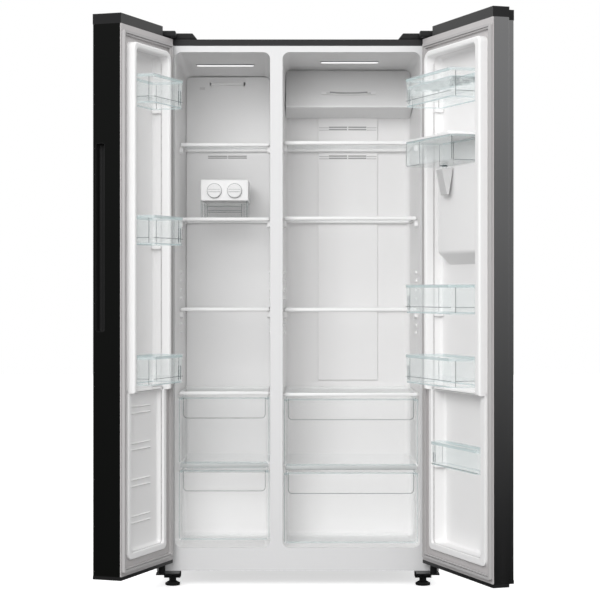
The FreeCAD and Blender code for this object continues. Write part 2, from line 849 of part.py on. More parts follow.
def make_hinges():
    """Top hinge plates with pins, their covers, and the lower brackets that carry the feet."""
    uppers = []
    covers = []
    lowers = []
    for door in (LEFT_DOOR, RIGHT_DOOR):
        centre = (door.at("pivot_inset"), PIVOT_Y)
        arm_x = door.x(("hinge_arm_setback", "hinge_arm_setback + hinge_arm_width"))
        arm_y = (f"{PIVOT_Y} - hinge_arm_reach", "hinge_rear")
        plate = block(arm_x, arm_y, ("cabinet_top", "cabinet_top + hinge_plate"))
        pin = rod("z", centre, ("door_shoulder - pin_reach", "cabinet_top + hinge_plate"), "pin_radius")
        uppers += [joined([plate, pin])]

        nose = door.x(("0", "cover_nose_width"))
        body = door.x(("cover_setback", "cover_setback + cover_body_width"))
        height = ("cabinet_top", "cabinet_top + cover_height")
        shell = joined([
            block(nose, (f"{PIVOT_Y} - cover_nose_reach", "0"), height),
            block(body, ("0", "cover_rear"), height),
        ])
        inner_height = ("cabinet_top - 1", "cabinet_top + cover_height - cap_wall")
        hollow = joined([
            block(door.x(("cap_wall", "cover_nose_width - cap_wall")),
                  (f"{PIVOT_Y} - cover_nose_reach + cap_wall", "0"), inner_height),
            block(door.x(("cover_setback + cap_wall", "cover_setback + cover_body_width - cap_wall")),
                  ("cap_wall", "cover_rear - cap_wall"), inner_height),
        ])
        way = door.x(("cover_setback + cap_wall", "cover_nose_width - cap_wall"))
        passage = block(way, ("-cap_wall", "2 * cap_wall"), inner_height)
        covers.append(cut(shell, [hollow, passage]))

        top = "cabinet_bottom"
        bottom = "cabinet_bottom - lower_hinge_plate"
        foot = "foot_inset"
        plate_x = door.x(("lower_hinge_setback", f"{foot} + bracket_half"))
        plate_y = (f"{PIVOT_Y} - lower_hinge_reach", "foot_depth + lower_hinge_rear")
        plate = block(plate_x, plate_y, (bottom, top))
        washer = rod("z", centre, (top, "door_bottom - gasket_relief"), "bush_radius")
        pin = rod("z", centre, (top, "door_bottom + pin_reach"), "pin_radius")
        foot_y = ("foot_depth - bracket_half", "foot_depth + bracket_half")
        pan = block(door.x((f"{foot} - bracket_half", f"{foot} + bracket_half")), foot_y,
                    ("collar_top", "collar_top + bracket_sheet"))
        cheeks = [
            block(door.x((low, f"{low} + bracket_sheet")), foot_y, ("collar_top", bottom))
            for low in (f"{foot} - bracket_half", f"{foot} + bracket_half - bracket_sheet")
        ]
        bore = "stem_radius + stem_clearance"
        hole = rod("z", (door.at(foot), "foot_depth"), ("collar_top - 1", f"{top} + 1"), bore)
        lowers.append(cut(joined([plate, washer, pin, pan, *cheeks]), [hole]))
    node("top_hinges", joined(uppers))
    node("hinge_covers", joined(covers))
    node("bottom_hinges", joined(lowers))


# ---------------------------------------------------------------- doors

def door_solid(door, inset, z):
    """The outline of one door between two heights; inset shrinks every side but the inner one."""
    rear = "0" if inset == "0" else "-liner_wall"
    front = f"-door_thickness + {inset}"
    end = f"{door.width} - {inset}"
    if door.left:
        return door.block((inset, end), (front, rear), z)
    shoulder = f"{door.width} - grip_channel_width - {inset}"
    thick = door.block((inset, shoulder), (front, rear), z)
    thin = door.block((shoulder, end), (f"{front} + grip_channel_depth", rear), z)
    return joined([thick, thin])


def recess_span(door):
    """The u span inside the dyke."""
    bar = "dyke_bar" if door.left else "right_dyke_bar"
    return "dyke_hinge_setback + dyke_bar", f"{door.width} - dyke_free_setback - {bar}"


def liner_parts(door):
    """The raised dyke, the sunk recess and the spaces behind them, as separate boxes."""
    outer = ("dyke_hinge_setback", f"{door.width} - dyke_free_setback")
    inner = recess_span(door)
    low_depth = f"{door.name}_low_recess"
    levels = (
        ("dyke_height", "recess_depth", ("dyke_split", DYKE_TOP), ("dyke_split", f"{DYKE_TOP} - dyke_bar")),
        ("low_dyke_height", low_depth, (DYKE_BOTTOM, "dyke_split"),
         (f"{DYKE_BOTTOM} + dyke_bar", "dyke_split")),
    )
    parts = {"rings": [], "tubs": [], "recesses": [], "hollows": []}
    grown = (f"{inner[0]} - liner_wall", f"{inner[1]} + liner_wall")
    shrunk = (f"{outer[0]} + liner_wall", f"{outer[1]} - liner_wall")
    for height, depth, ring_z, recess_z in levels:
        tub_z = (f"{recess_z[0]} - liner_wall", f"{recess_z[1]} + liner_wall")
        parts["rings"].append(door.block(outer, ("-liner_wall", height), ring_z))
        parts["tubs"].append(door.block(grown, (f"-{depth} - liner_wall", "-liner_wall"), tub_z))
        parts["recesses"].append(door.block(inner, (f"-{depth}", f"{height} + 1"), recess_z))
        roof = "+ liner_wall" if height == "low_dyke_height" else "- liner_wall"
        hollow_z = (f"{ring_z[0]} + liner_wall", f"{ring_z[1]} {roof}")
        hollow = door.block(shrunk, ("-liner_wall", f"{height} - liner_wall"), hollow_z)
        tub_space = door.block(grown, ("-door_thickness", "door_thickness"), tub_z)
        parts["hollows"].append(cut(hollow, [tub_space]))
    return parts


def recess_behind(bin_name):
    """Depth of the door's recess behind one bin."""
    return "right_low_recess" if bin_name == "right_bottom_bin" else "recess_depth"


def bin_list(door):
    """Name, lower edge, height and reach of each bin on one door."""
    if door.left:
        return [(f"left_{level}_bin", "bin_height", "left_bin_reach") for level in ("top", "middle", "low")]
    bins = [(f"right_{level}_bin", "bin_height", "right_bin_reach") for level in ("top", "middle", "low")]
    return bins + [("right_bottom_bin", "bottom_bin_height", "low_bin_reach")]


def bulge_profile(wall):
    """Side outline of the dispenser bulge, in closed door coordinates, set in by its wall."""
    rear = "-recess_depth - liner_wall - gasket_gap"
    front = f"bulge_rise - gasket_gap - {wall}"
    return [
        (rear, f"bulge_top - {wall}"), (front, f"bulge_top - {wall}"),
        (front, f"bulge_bottom + bulge_slope + {wall}"), (rear, f"bulge_bottom + {wall}"),
    ]


def spout_centre(door):
    """Where the tank's valve stands: its x and y while the door is closed."""
    middle = f"({door.at('(bulge_left + bulge_right) / 2 + spout_top_width')})"
    return middle, "bulge_rise + spout_reach / 2 - gasket_gap"


def spout(door):
    """The funnel under the water tank: wide at its top, narrow at its tip."""
    middle, centre = spout_centre(door)
    top = "bulge_top - spout_drop"
    funnel = front_prism([
        (f"{middle} - spout_top_width / 2", top), (f"{middle} + spout_top_width / 2", top),
        (f"{middle} + spout_tip_width / 2", f"{top} - spout_height"),
        (f"{middle} - spout_tip_width / 2", f"{top} - spout_height"),
    ], door.y(("bulge_rise", "bulge_rise + spout_reach")))
    well = (f"{top} - valve_well", f"{top} + 1")
    return cut(funnel, [rod("z", (middle, centre), well, "valve_radius + valve_clearance")])


def make_door(door):
    shell_z = (LINER_BOTTOM, "door_shoulder")
    inner_z = (f"{LINER_BOTTOM} - 1", "door_shoulder + 1")
    name = f"{door.name}_door"
    width = door.width
    behind = door.block(("-1", f"{width} + 1"), ("-liner_wall", "1"), inner_z)
    skin = cut(door_solid(door, "0", shell_z), [door_solid(door, "sheet", inner_z), behind])
    flange = door.block(("0", width), ("-liner_wall", "0"), shell_z)
    parts = liner_parts(door)
    outside = [flange, *parts["rings"], *parts["tubs"]]
    liner_shell = cut(joined(outside), [*parts["recesses"], *parts["hollows"]])
    bosses = []
    inner = recess_span(door)
    for bin_name, _, _ in bin_list(door):
        depth = (f"-{recess_behind(bin_name)}", "0")
        for span in ((inner[0], f"{inner[0]} + boss_width"), (f"{inner[1]} - boss_width", inner[1])):
            bosses.append(door.block(span, depth, (f"{bin_name} - boss_height", bin_name)))
    core = door_solid(door, "sheet", (LINER_BOTTOM, "door_shoulder - top_cap_plate"))
    again = liner_parts(door)
    foam_cuts = [*again["tubs"]]
    bush_spans = (
        ("door_shoulder - bush_length - 1", "door_shoulder"),
        (LINER_BOTTOM, f"{LINER_BOTTOM} + bush_length"),
    )
    for span in bush_spans:
        foam_cuts.append(rod("z", (door.at("pivot_inset"), PIVOT_Y), span, "bush_radius"))

    if door.left:
        pocket_w = ("-door_thickness + pocket_setback", "-door_thickness + pocket_setback + pocket_width")
        pocket_z = ("pocket_bottom", "pocket_top")
        skin = cut(skin, [door.block((f"{width} - 2 * sheet", f"{width} + 1"), pocket_w, pocket_z)])
        insert = door.block((f"{width} - pocket_depth", width), pocket_w, pocket_z)
        hollow = door.block(
            (f"{width} - pocket_depth + pocket_wall", f"{width} + 1"),
            tuple(f"{place} {sign} pocket_wall" for place, sign in zip(pocket_w, "+-")),
            ("pocket_bottom + pocket_wall", "pocket_top - pocket_wall"),
        )
        door.node("handle_insert", cut(insert, [hollow]))
        foam_cuts.append(door.block((f"{width} - pocket_depth", f"{width} + 1"), pocket_w, pocket_z))
        liner_final = joined([liner_shell, *bosses])
        foam = joined([cut(core, foam_cuts), *again["hollows"]])
    else:
        niche_u = ("recess_side - niche_wall", "recess_side + recess_width + niche_wall")
        niche_z = ("recess_bottom - niche_wall", "recess_top + niche_wall")
        niche_w = ("-door_thickness", "-door_thickness + niche_depth + niche_wall")
        skin_depth = ("-door_thickness - 1", "-door_thickness + 2 * sheet")
        skin = cut(skin, [door.block(niche_u, skin_depth, niche_z)])
        bulge_x = door.x(("bulge_left", "bulge_right"))
        bulge = side_prism(bulge_profile("0"), bulge_x)
        inner_x = door.x(("bulge_left + liner_wall", "bulge_right - liner_wall"))
        cavity = side_prism(bulge_profile("liner_wall"), inner_x)
        hollow_bulge = cut(joined([liner_shell, bulge]), [cavity])
        liner_final = joined([hollow_bulge, *bosses, spout(door)])
        filled = side_prism(bulge_profile("liner_wall"), inner_x)
        niche_hole = door.block(niche_u, ("-door_thickness - 1", niche_w[1]), niche_z)
        foam = cut(joined([cut(core, foam_cuts), *again["hollows"], filled]), [niche_hole])
        make_dispenser(door, niche_u, niche_w, niche_z)
    door.node(f"{name}_skin", skin)
    door.node(f"{name}_liner", liner_final)
    door.node(f"{name}_foam", foam)
    make_caps(door)
    make_gasket(door)
    make_bins(door)


def make_caps(door):
    """The end caps of a door, with the bushes that turn on the hinge pins."""
    width = door.width
    centre = (door.at("pivot_inset"), PIVOT_Y)
    bore = "pin_radius + pin_clearance"
    plug = rod("z", centre, ("door_bottom", f"{LINER_BOTTOM} + bush_length"), "bush_radius")
    well = rod("z", centre, ("door_bottom - 1", "door_bottom + pin_reach + bush_floor_gap"), bore)
    bottom = cut(joined([door_solid(door, "0", ("door_bottom", LINER_BOTTOM)), plug]), [well])

    plate = door_solid(door, "sheet", ("door_shoulder - top_cap_plate", "door_shoulder"))
    bush = rod("z", centre, ("door_shoulder - bush_length", "door_shoulder"), "bush_radius")
    bay_z = ("door_shoulder - 1", "door_top + 1")
    bay = door.block(("-1", "hinge_bay"), ("-door_thickness - 1", "1"), bay_z)
    raised = cut(door_solid(door, "0", ("door_shoulder", "door_top")), [bay])
    bay_inside = door.block(
        ("-2", "hinge_bay + cap_wall"), ("-door_thickness - 2", "2"), ("door_shoulder - 50", "door_top + 2"),
    )
    hollow_z = ("door_shoulder - top_cap_plate - 1", "door_top - cap_wall")
    hollow = cut(door_solid(door, "cap_wall", hollow_z), [bay_inside])
    pin_bore = rod("z", centre, ("door_shoulder - pin_reach - bush_floor_gap", "door_shoulder + 1"), bore)
    top = cut(joined([plate, bush, raised]), [hollow, pin_bore])
    door.node(f"{door.name}_door_caps", joined([bottom, top]))


def make_gasket(door):
    """A rectangular ring between the door and the cabinet's front frame."""
    width = door.width
    height = ("0", "gasket_gap - gasket_relief")
    outside = door.block(
        ("gasket_hinge_setback", f"{width} - gasket_edge"), height,
        ("sill_top + gasket_edge", f"{FRAME_TOP} - gasket_edge"),
    )
    inside = door.block(
        ("gasket_hinge_setback + gasket_width", f"{width} - gasket_edge - gasket_width"),
        ("-1", "gasket_gap + 1"),
        ("sill_top + gasket_edge + gasket_width", f"{FRAME_TOP} - gasket_edge - gasket_width"),
    )
    door.node(f"{door.name}_door_gasket", cut(outside, [inside]))


def make_bins(door):
    """Lift-off bins between the sides of the dyke."""
    inner = recess_span(door)
    u = (f"{inner[0]} + bin_gap", f"{inner[1]} - bin_gap")
    for name, height, reach in bin_list(door):
        depth = f"bin_rear_gap - {recess_behind(name)}"
        skirt = "bin_wall" if name == "right_bottom_bin" else "bin_skirt"
        shape = tub(door.x(u), door.y((depth, reach)), (name, f"{name} + {height}"), "bin_wall", skirt)
        door.node(name, shape)
    if not door.left:
        make_egg_tray(door, u)
        make_tank(door, u)


def make_egg_tray(door, u):
    """A plate with round seats on a low skirt, standing in the top bin."""
    inside = (f"{u[0]} + bin_wall + egg_tray_gap", f"{u[1]} - bin_wall - egg_tray_gap")
    w = (
        "bin_rear_gap - recess_depth + bin_wall + egg_tray_gap",
        "right_bin_reach - bin_wall - egg_tray_gap",
    )
    top = "(right_top_bin + bin_height - egg_tray_drop)"
    z = (f"{top} - egg_skirt", top)
    shape = cut(door.block(inside, w, z), [door.block(
        (f"{inside[0]} + bin_wall", f"{inside[1]} - bin_wall"), (f"{w[0]} + bin_wall", f"{w[1]} - bin_wall"),
        (f"{z[0]} - 1", f"{top} - bin_wall"),
    )])
    columns = 6
    lines = 2
    seats = []
    for column in range(columns):
        for line in range(lines):
            along = f"({inside[0]}) + (({inside[1]}) - ({inside[0]})) * {column + 0.5} / {columns}"
            across = f"({w[0]}) + (({w[1]}) - ({w[0]})) * {line + 0.5} / {lines} - gasket_gap"
            span = (f"{top} - bin_wall - 1", f"{top} + 1")
            seats.append(rod("z", (door.at(along), across), span, "egg_radius"))
    door.node("egg_tray", cut(shape, seats))


def make_tank(door, u):
    """The water tank on the dispenser bulge, its lid and the filling flap."""
    w = ("bin_rear_gap - recess_depth", "right_bin_reach - bin_rear_gap")
    bottom = "(bulge_top + tank_gap)"
    top = f"({bottom} + tank_height)"
    outside = door.block(u, w, (bottom, top))
    inside = door.block(
        (f"{u[0]} + tank_wall", f"{u[1]} - tank_wall"), (f"{w[0]} + tank_wall", f"{w[1]} - tank_wall"),
        (f"{bottom} + tank_wall", f"{top} + 1"),
    )
    valve = rod("z", spout_centre(door), (f"{bottom} - valve_length", f"{bottom} + 1"), "valve_radius")
    door.node("water_tank", joined([cut(outside, [inside]), valve]))

    flap_u = (f"{u[1]} - flap_inset - flap_width", f"{u[1]} - flap_inset")
    flap_w = ("flap_setback", "flap_setback + flap_depth")
    lid = door.block(u, w, (top, f"{top} + tank_lid"))
    mouth = door.block(
        (f"{flap_u[0]} + flap_lap", f"{flap_u[1]} - flap_lap"),
        (f"{flap_w[0]} + flap_lap", f"{flap_w[1]} - flap_lap"),
        (f"{top} - 1", f"{top} + tank_lid + 1"),
    )
    door.node("tank_lid", cut(lid, [mouth]))
    flap_bottom = f"{top} + tank_lid + flap_gap"
    flap = door.block(flap_u, flap_w, (flap_bottom, f"{flap_bottom} + flap_thickness"))
    axis = ("flap_setback - gasket_gap", f"{flap_bottom} + flap_pin_radius")
    pin = rod("x", axis, door.x(flap_u), "flap_pin_radius")
    door.node("tank_flap", joined([flap, pin]))


def make_dispenser(door, u, w, z):
    """The niche in the door's outer face, its bezel, nozzle, drip grille and lever."""
    shell = cut(door.block(u, w, z), [door.block(
        (f"{u[0]} + niche_wall", f"{u[1]} - niche_wall"), (f"{w[0]} - 1", f"{w[1]} - niche_wall"),
        (f"{z[0]} + niche_wall", f"{z[1]} - niche_wall"),
    )])
    bezel_w = ("-door_thickness - bezel_rise", "-door_thickness")
    bezel = cut(
        door.block((f"{u[0]} - bezel_width", f"{u[1]} + bezel_width"), bezel_w,
                   (f"{z[0]} - bezel_width", f"{z[1]} + bezel_width")),
        [door.block((f"{u[0]} + niche_wall", f"{u[1]} - niche_wall"),
                    ("-door_thickness - 2 * bezel_rise", "0"),
                    (f"{z[0]} + niche_wall", f"{z[1]} - niche_wall"))],
    )
    middle = door.at("recess_side + recess_width / 2")
    nozzle_y = "-door_thickness + niche_depth / 2 - gasket_gap"
    nozzle_z = ("recess_top - nozzle_length", "recess_top + niche_wall / 2")
    nozzle = rod("z", (middle, nozzle_y), nozzle_z, "nozzle_radius")
    grille = []
    bars = 9
    for index in range(bars):
        low = f"recess_side + recess_width * {index + 0.5} / {bars} - grille_bar / 2"
        grille.append(door.block(
            (low, f"{low} + grille_bar"), ("-door_thickness", "-door_thickness + niche_depth"),
            ("recess_bottom + grille_rise", "recess_bottom + grille_rise + grille_sheet"),
        ))
    rear_rail = "-door_thickness + niche_depth - grille_sheet"
    rails = [
        door.block(("recess_side", "recess_side + recess_width"), (low, f"{low} + grille_sheet"),
                   ("recess_bottom", "recess_bottom + grille_rise"))
        for low in ("-door_thickness", rear_rail)
    ]
    door.node("dispenser_housing", joined([shell, bezel, nozzle, *grille, *rails]))

    pin_w = "-door_thickness + niche_depth - lever_setback"
    pin_z = "recess_top - lever_pin_drop"
    centre = "recess_side + recess_width / 2"
    half = (f"{centre} - lever_width / 2", f"{centre} + lever_width / 2")
    paddle = door.block(half, (f"{pin_w} - lever_thickness / 2", f"{pin_w} + lever_thickness / 2"),
                        (f"{pin_z} - lever_height", pin_z))
    pivot = rod("x", (f"{pin_w} - gasket_gap", pin_z), door.x(half), "lever_pin_radius")
    door.node("dispenser_lever", joined([paddle, pivot]))


# ---------------------------------------------------------------- ice maker

def make_ice_maker():
    """A stand with two twist trays above a bucket that slides out."""
    x = ("ice_left", "ice_right")
    y = ("ice_front", "ice_rear")
    stand = cut(block(x, y, ("middle_shelf", "ice_top")), [
        block(("ice_left + ice_wall", "ice_right - ice_wall"),
              ("ice_front + ice_wall", "ice_rear - ice_wall"), ("middle_shelf - 1", "ice_top - ice_wall")),
        block(("ice_left + ice_wall", "ice_right - ice_wall"), ("ice_front - 1", "ice_rear + 1"),
              ("middle_shelf - 1", "ice_bottom")),
        block(("ice_left - 1", "ice_right + 1"), ("ice_front + ice_leg", "ice_rear - ice_leg"),
              ("middle_shelf - 1", "ice_bottom")),
    ])
    level = "((ice_top + ice_bottom) / 2 - tray_drop)"
    middle = "((ice_left + ice_right) / 2)"
    holes = []
    for name, side in (("left", -1), ("right", 1)):
        centre = (f"{middle} + {side} * tray_pitch / 2", level)
        holes.append(rod("y", centre, ("ice_front - 1", "ice_rear + 1"), "shaft_radius + shaft_clearance"))
        knob = rod("y", centre, ("ice_front - knob_depth - knob_gap", "ice_front - knob_gap"), "knob_radius")
        stub = ("ice_front - knob_gap", "ice_front + ice_wall + shaft_stub")
        shaft = rod("y", centre, stub, "shaft_radius")
        tail = rod("y", centre, ("ice_rear - ice_wall - shaft_stub", "ice_rear"), "shaft_radius")
        tray_x = (f"{centre[0]} - tray_half_width", f"{centre[0]} + tray_half_width")
        tray_y = ("ice_front + ice_wall + tray_gap", "ice_rear - ice_wall - tray_gap")
        tray = block(tray_x, tray_y, (f"{level} - tray_half_height", f"{level} + tray_half_height"))
        cups = []
        rows = 5
        for row in range(rows):
            length = f"(({tray_y[1]}) - ({tray_y[0]}) - 2 * cup_margin)"
            low = f"({tray_y[0]}) + cup_margin + {length} * {row} / {rows} + cup_wall / 2"
            cups.append(block(
                (f"{tray_x[0]} + cup_wall", f"{tray_x[1]} - cup_wall"),
                (low, f"{low} + {length} / {rows} - cup_wall"),
                (f"{level} - tray_half_height + cup_wall", f"{level} + tray_half_height + 1"),
            ))
        node(f"ice_tray_{name}", joined([cut(tray, cups), knob, shaft, tail]))
    node("ice_maker_frame", cut(stand, holes))
    bucket = tub(
        ("ice_left + ice_wall + bucket_gap", "ice_right - ice_wall - bucket_gap"),
        ("ice_front + bucket_front_gap", "ice_rear - bucket_gap"),
        ("middle_shelf + bucket_lift", "middle_shelf + bucket_lift + bucket_height"), "ice_wall", "0",
    )
    node("ice_bucket", bucket)


# ---------------------------------------------------------------- machine compartment

def make_machine_parts():
    """Compressor, condenser with its fan, drip pan, control board and rear cover."""
    compressor = turned_body("compressor_shell", [
        ("0", "0"), ("compressor_radius + compressor_flange", "0"),
        ("compressor_radius + compressor_flange", "4"), ("compressor_radius", "8"),
        ("compressor_radius", "compressor_height * 0.6"),
        ("compressor_radius * 0.8", "compressor_height * 0.88"),
        ("compressor_radius * 0.35", "compressor_height"), ("0", "compressor_height"),
    ])
    floor = size("cabinet_bottom") + size("base_plate") + size("grommet_height")
    place = Vector(size("compressor_x"), size("cabinet_depth") - size("compressor_inset"), floor)
    compressor.Placement = Placement(place, Rotation())
    grommets = []
    for across in (-1, 1):
        for along in (-1, 1):
            centre = (f"compressor_x + {across} * compressor_radius * 0.6",
                      f"cabinet_depth - compressor_inset + {along} * compressor_radius * 0.6")
            span = (FLOOR_TOP, f"{FLOOR_TOP} + grommet_height")
            grommets.append(rod("z", centre, span, "grommet_radius"))
    node("compressor", joined([compressor, *grommets]))

    depth = (f"{MACHINE_FRONT} + condenser_margin", f"{REAR} - condenser_margin")
    height = ("condenser_bottom", "condenser_bottom + condenser_height")
    length = ("condenser_left", "condenser_left + condenser_length")
    fins = []
    fin_count = 18
    for index in range(fin_count):
        low = f"condenser_left + {index} * (condenser_length - fin_sheet) / {fin_count - 1}"
        fins.append(block((low, f"{low} + fin_sheet"), depth, height))
    for row in range(4):
        for line in range(2):
            centre = (f"{depth[0]} + ({depth[1]} - ({depth[0]})) * {line + 1} / 3",
                      f"condenser_bottom + condenser_height * {row + 1} / 5")
            fins.append(rod("x", centre, length, "tube_radius"))
    feet = [
        block(length, (low, f"{low} + condenser_foot"), (FLOOR_TOP, "condenser_bottom"))
        for low in (depth[0], f"{depth[1]} - condenser_foot")
    ]
    node("condenser", joined([*fins, *feet]))

    middle_y = f"(({MACHINE_FRONT} + {REAR}) / 2)"
    middle_z = "(condenser_bottom + condenser_height / 2)"
    ring = cut(
        block(("shroud_left", "shroud_left + shroud_thickness"),
              (f"{middle_y} - condenser_height / 2", f"{middle_y} + condenser_height / 2"),
              (FLOOR_TOP, "condenser_bottom + condenser_height")),
        [rod("x", (middle_y, middle_z), ("shroud_left - 1", "shroud_left + shroud_thickness + 1"),
             "fan_radius + fan_tip_gap")],
    )
    node("fan_shroud", ring)
    fan = fan_body("condenser_fan", "fan_radius", "blade_depth")
    y = (size("cabinet_depth") - size("machine_depth") + size("cabinet_depth") - size("sheet")) / 2
    z = size("condenser_bottom") + size("condenser_height") / 2
    start = size("shroud_left") + (size("shroud_thickness") - size("blade_depth")) / 2
    node("condenser_fan", fan, Placement(Vector(start, y, z), Rotation(Vector(0, 1, 0), 90)))

    pan_y = (f"{MACHINE_FRONT} + drip_pan_margin", f"{REAR} - drip_pan_margin")
    pan_z = (FLOOR_TOP, f"{FLOOR_TOP} + drip_pan_height")
    node("drip_pan", tub(length, pan_y, pan_z, "drip_pan_wall", "0"))

    board_y = (MACHINE_FRONT, f"{MACHINE_FRONT} + board_depth")
    board_z = ("board_bottom", "board_bottom + board_height")
    parts = [block(("board_left", "board_left + board_width"), board_y, board_z)]
    relay_count = 4
    for index in range(relay_count):
        low = f"board_left + relay_margin + {index} * relay_pitch"
        base = f"board_bottom + relay_rise + {index} * relay_step"
        parts.append(block(
            (low, f"{low} + relay_width"), (board_y[1], f"{board_y[1]} + relay_depth"),
            (base, f"{base} + relay_height"),
        ))
    node("control_board", joined(parts))

    skin = (f"{LEFT} + sheet", f"{RIGHT} - sheet")
    plate = block(skin, (REAR, "cabinet_depth"), ("cabinet_bottom", "machine_top"))
    centre = ("inlet_x", "inlet_height")
    boss = rod("y", centre, ("cabinet_depth - inlet_length", "cabinet_depth"), "inlet_radius + inlet_wall")
    vents = [rod("y", centre, ("cabinet_depth - inlet_length - 1", "cabinet_depth + 1"), "inlet_radius")]
    columns = 11
    rows = 4
    for column in range(columns):
        for row in range(rows):
            low = f"rear_vent_left + {column} * (rear_vent_width + rear_vent_gap)"
            base = f"rear_vent_bottom + {row} * rear_vent_pitch"
            vents.append(block(
                (low, f"{low} + rear_vent_width"), (f"{REAR} - 1", "cabinet_depth + 1"),
                (base, f"{base} + rear_vent_height"),
            ))
    node("machine_cover", cut(joined([plate, boss]), vents))


# ---------------------------------------------------------------- whole model

def check_and_write():
    """Stop on any failed object, then write each sub-part to its own file."""
    doc.recompute()
    for item in doc.Objects:
        if "Invalid" in item.State or "Error" in item.State:
            raise RuntimeError(f"{item.Label} failed: {item.State}")
    for part in nodes:
        if part.Shape.isNull() or not part.Shape.isValid():
            raise RuntimeError(f"{part.Label} has no valid shape")
    os.makedirs("parts", exist_ok=True)
    for part in nodes:
        part.Shape.exportStep(f"parts/{part.Label}.step")


make_cabinet()
make_base()
make_air_parts()
make_shelves()
make_drawers()
make_hinges()
make_ice_maker()
make_machine_parts()
make_door(LEFT_DOOR)
make_door(RIGHT_DOOR)
check_and_write()
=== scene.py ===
"""Side by side refrigerator: finished pieces, materials, floor, lights and camera. Lengths are metres.

Door pieces are modelled in their door's own directions, u from the hinge side, w inwards and z up,
with the door shut, and are then hung on the open door.
"""
import json
import math

import bmesh
import bpy
from mathutils import Matrix, Vector


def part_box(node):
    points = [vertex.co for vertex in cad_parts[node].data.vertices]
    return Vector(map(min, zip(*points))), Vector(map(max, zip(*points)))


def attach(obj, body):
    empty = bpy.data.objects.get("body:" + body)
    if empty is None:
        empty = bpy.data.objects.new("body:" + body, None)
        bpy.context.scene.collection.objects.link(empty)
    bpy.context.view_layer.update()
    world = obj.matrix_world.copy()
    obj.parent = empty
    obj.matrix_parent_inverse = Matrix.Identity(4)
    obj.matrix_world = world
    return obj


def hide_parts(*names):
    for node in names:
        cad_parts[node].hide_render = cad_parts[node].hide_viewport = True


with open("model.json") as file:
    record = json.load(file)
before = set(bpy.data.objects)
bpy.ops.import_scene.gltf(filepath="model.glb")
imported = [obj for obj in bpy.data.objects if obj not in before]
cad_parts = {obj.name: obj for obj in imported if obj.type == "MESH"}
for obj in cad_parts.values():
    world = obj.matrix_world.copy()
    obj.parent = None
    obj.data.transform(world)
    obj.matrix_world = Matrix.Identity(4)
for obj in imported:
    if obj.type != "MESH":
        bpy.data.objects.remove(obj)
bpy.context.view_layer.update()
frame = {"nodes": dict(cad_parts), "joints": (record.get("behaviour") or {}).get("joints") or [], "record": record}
RECORD = frame["record"]

SIDES = {"left": -1, "right": 1}
GASKET_GAP = 0.012
LINER_WALL = 0.003
LINER_DRAFT = 0.007
CORNER = 0.022
SKIN = 0.001
DYKE_SPLIT = 0.640
STEP_FRONT = 0.292
STEP_TOP = 0.335
CABINET_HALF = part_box("outer_wrapper")[1].x
SHELF_FRONT = {"freezer": 0.175, "fridge": 0.097}
SHELF_REAR = {"freezer": 0.450, "fridge": 0.440}
SHELF_TOPS = (1.440, 1.193, 0.8935)
DRAWER_SHELF_TOP = 0.618
DIVIDER_TOP = 0.381
LOUVRE_LEFT = (-0.312, -0.2455)
LOUVRE_RIGHT = (-0.2425, -0.177)
FRIDGE_MIDDLE = 0.173
DYKE_BOTTOM, DYKE_TOP, DYKE_BAR = 0.135, 1.705, 0.020
DEEP_RECESS = 0.030
LOW_RECESS = {"left": 0.015, "right": 0.042}
BULGE = (0.140, 0.440)
BEZEL = 0.006
SPOUT_U = 0.240
TRAY_PITCH = 0.067
ICE_AXIS = 1.2815
CASING_BOTTOM = 1.249
AXIS_TURN = {"x": Matrix.Rotation(math.pi / 2, 4, "Y"), "y": Matrix.Rotation(math.pi / 2, 4, "X"),
             "z": Matrix.Identity(4)}


# ---------------------------------------------------------------- node groups and finishes

def effect_group(name, inputs, outputs):
    """A shader node group with named number inputs and outputs."""
    group = bpy.data.node_groups.new(name, "ShaderNodeTree")
    for label, value in inputs:
        socket = group.interface.new_socket(label, in_out="INPUT", socket_type="NodeSocketFloat")
        socket.default_value = value
    for label in outputs:
        group.interface.new_socket(label, in_out="OUTPUT", socket_type="NodeSocketFloat")
    return group, group.nodes.new("NodeGroupInput"), group.nodes.new("NodeGroupOutput")


def add(tree, kind, **settings):
    """A node with its properties set; a number key sets that input socket."""
    item = tree.nodes.new(kind)
    for key, value in settings.items():
        if key.startswith("in_"):
            item.inputs[key[3:].replace("_", " ")].default_value = value
        else:
            setattr(item, key, value)
    return item


def moulded_grain_group():
    """Fine pebbled texture and slow cloudy drift of moulded or painted surfaces."""
    group, given, result = effect_group(
        "moulded_grain", [("Scale", 500.0), ("Drift Scale", 3.0)], ["Height", "Drift"]
    )
    place = add(group, "ShaderNodeTexCoord")
    fine = add(group, "ShaderNodeTexNoise", in_Detail=2.0)
    slow = add(group, "ShaderNodeTexNoise", in_Detail=3.0)
    link = group.links.new
    link(place.outputs["Object"], fine.inputs["Vector"])
    link(place.outputs["Object"], slow.inputs["Vector"])
    link(given.outputs["Scale"], fine.inputs["Scale"])
    link(given.outputs["Drift Scale"], slow.inputs["Scale"])
    link(fine.outputs["Fac"], result.inputs["Height"])
    link(slow.outputs["Fac"], result.inputs["Drift"])
    return group


def brushed_lines_group():
    """Long upright hairlines of brushed sheet metal."""
    group, given, result = effect_group("brushed_lines", [("Lines", 900.0)], ["Height"])
    place = add(group, "ShaderNodeTexCoord")
    stretch = add(group, "ShaderNodeMapping", vector_type="POINT")
    stretch.inputs["Scale"].default_value = (1.0, 1.0, 0.004)
    lines = add(group, "ShaderNodeTexNoise", in_Detail=1.0)
    link = group.links.new
    link(place.outputs["Object"], stretch.inputs["Vector"])
    link(stretch.outputs["Vector"], lines.inputs["Vector"])
    link(given.outputs["Lines"], lines.inputs["Scale"])
    link(lines.outputs["Fac"], result.inputs["Height"])
    return group


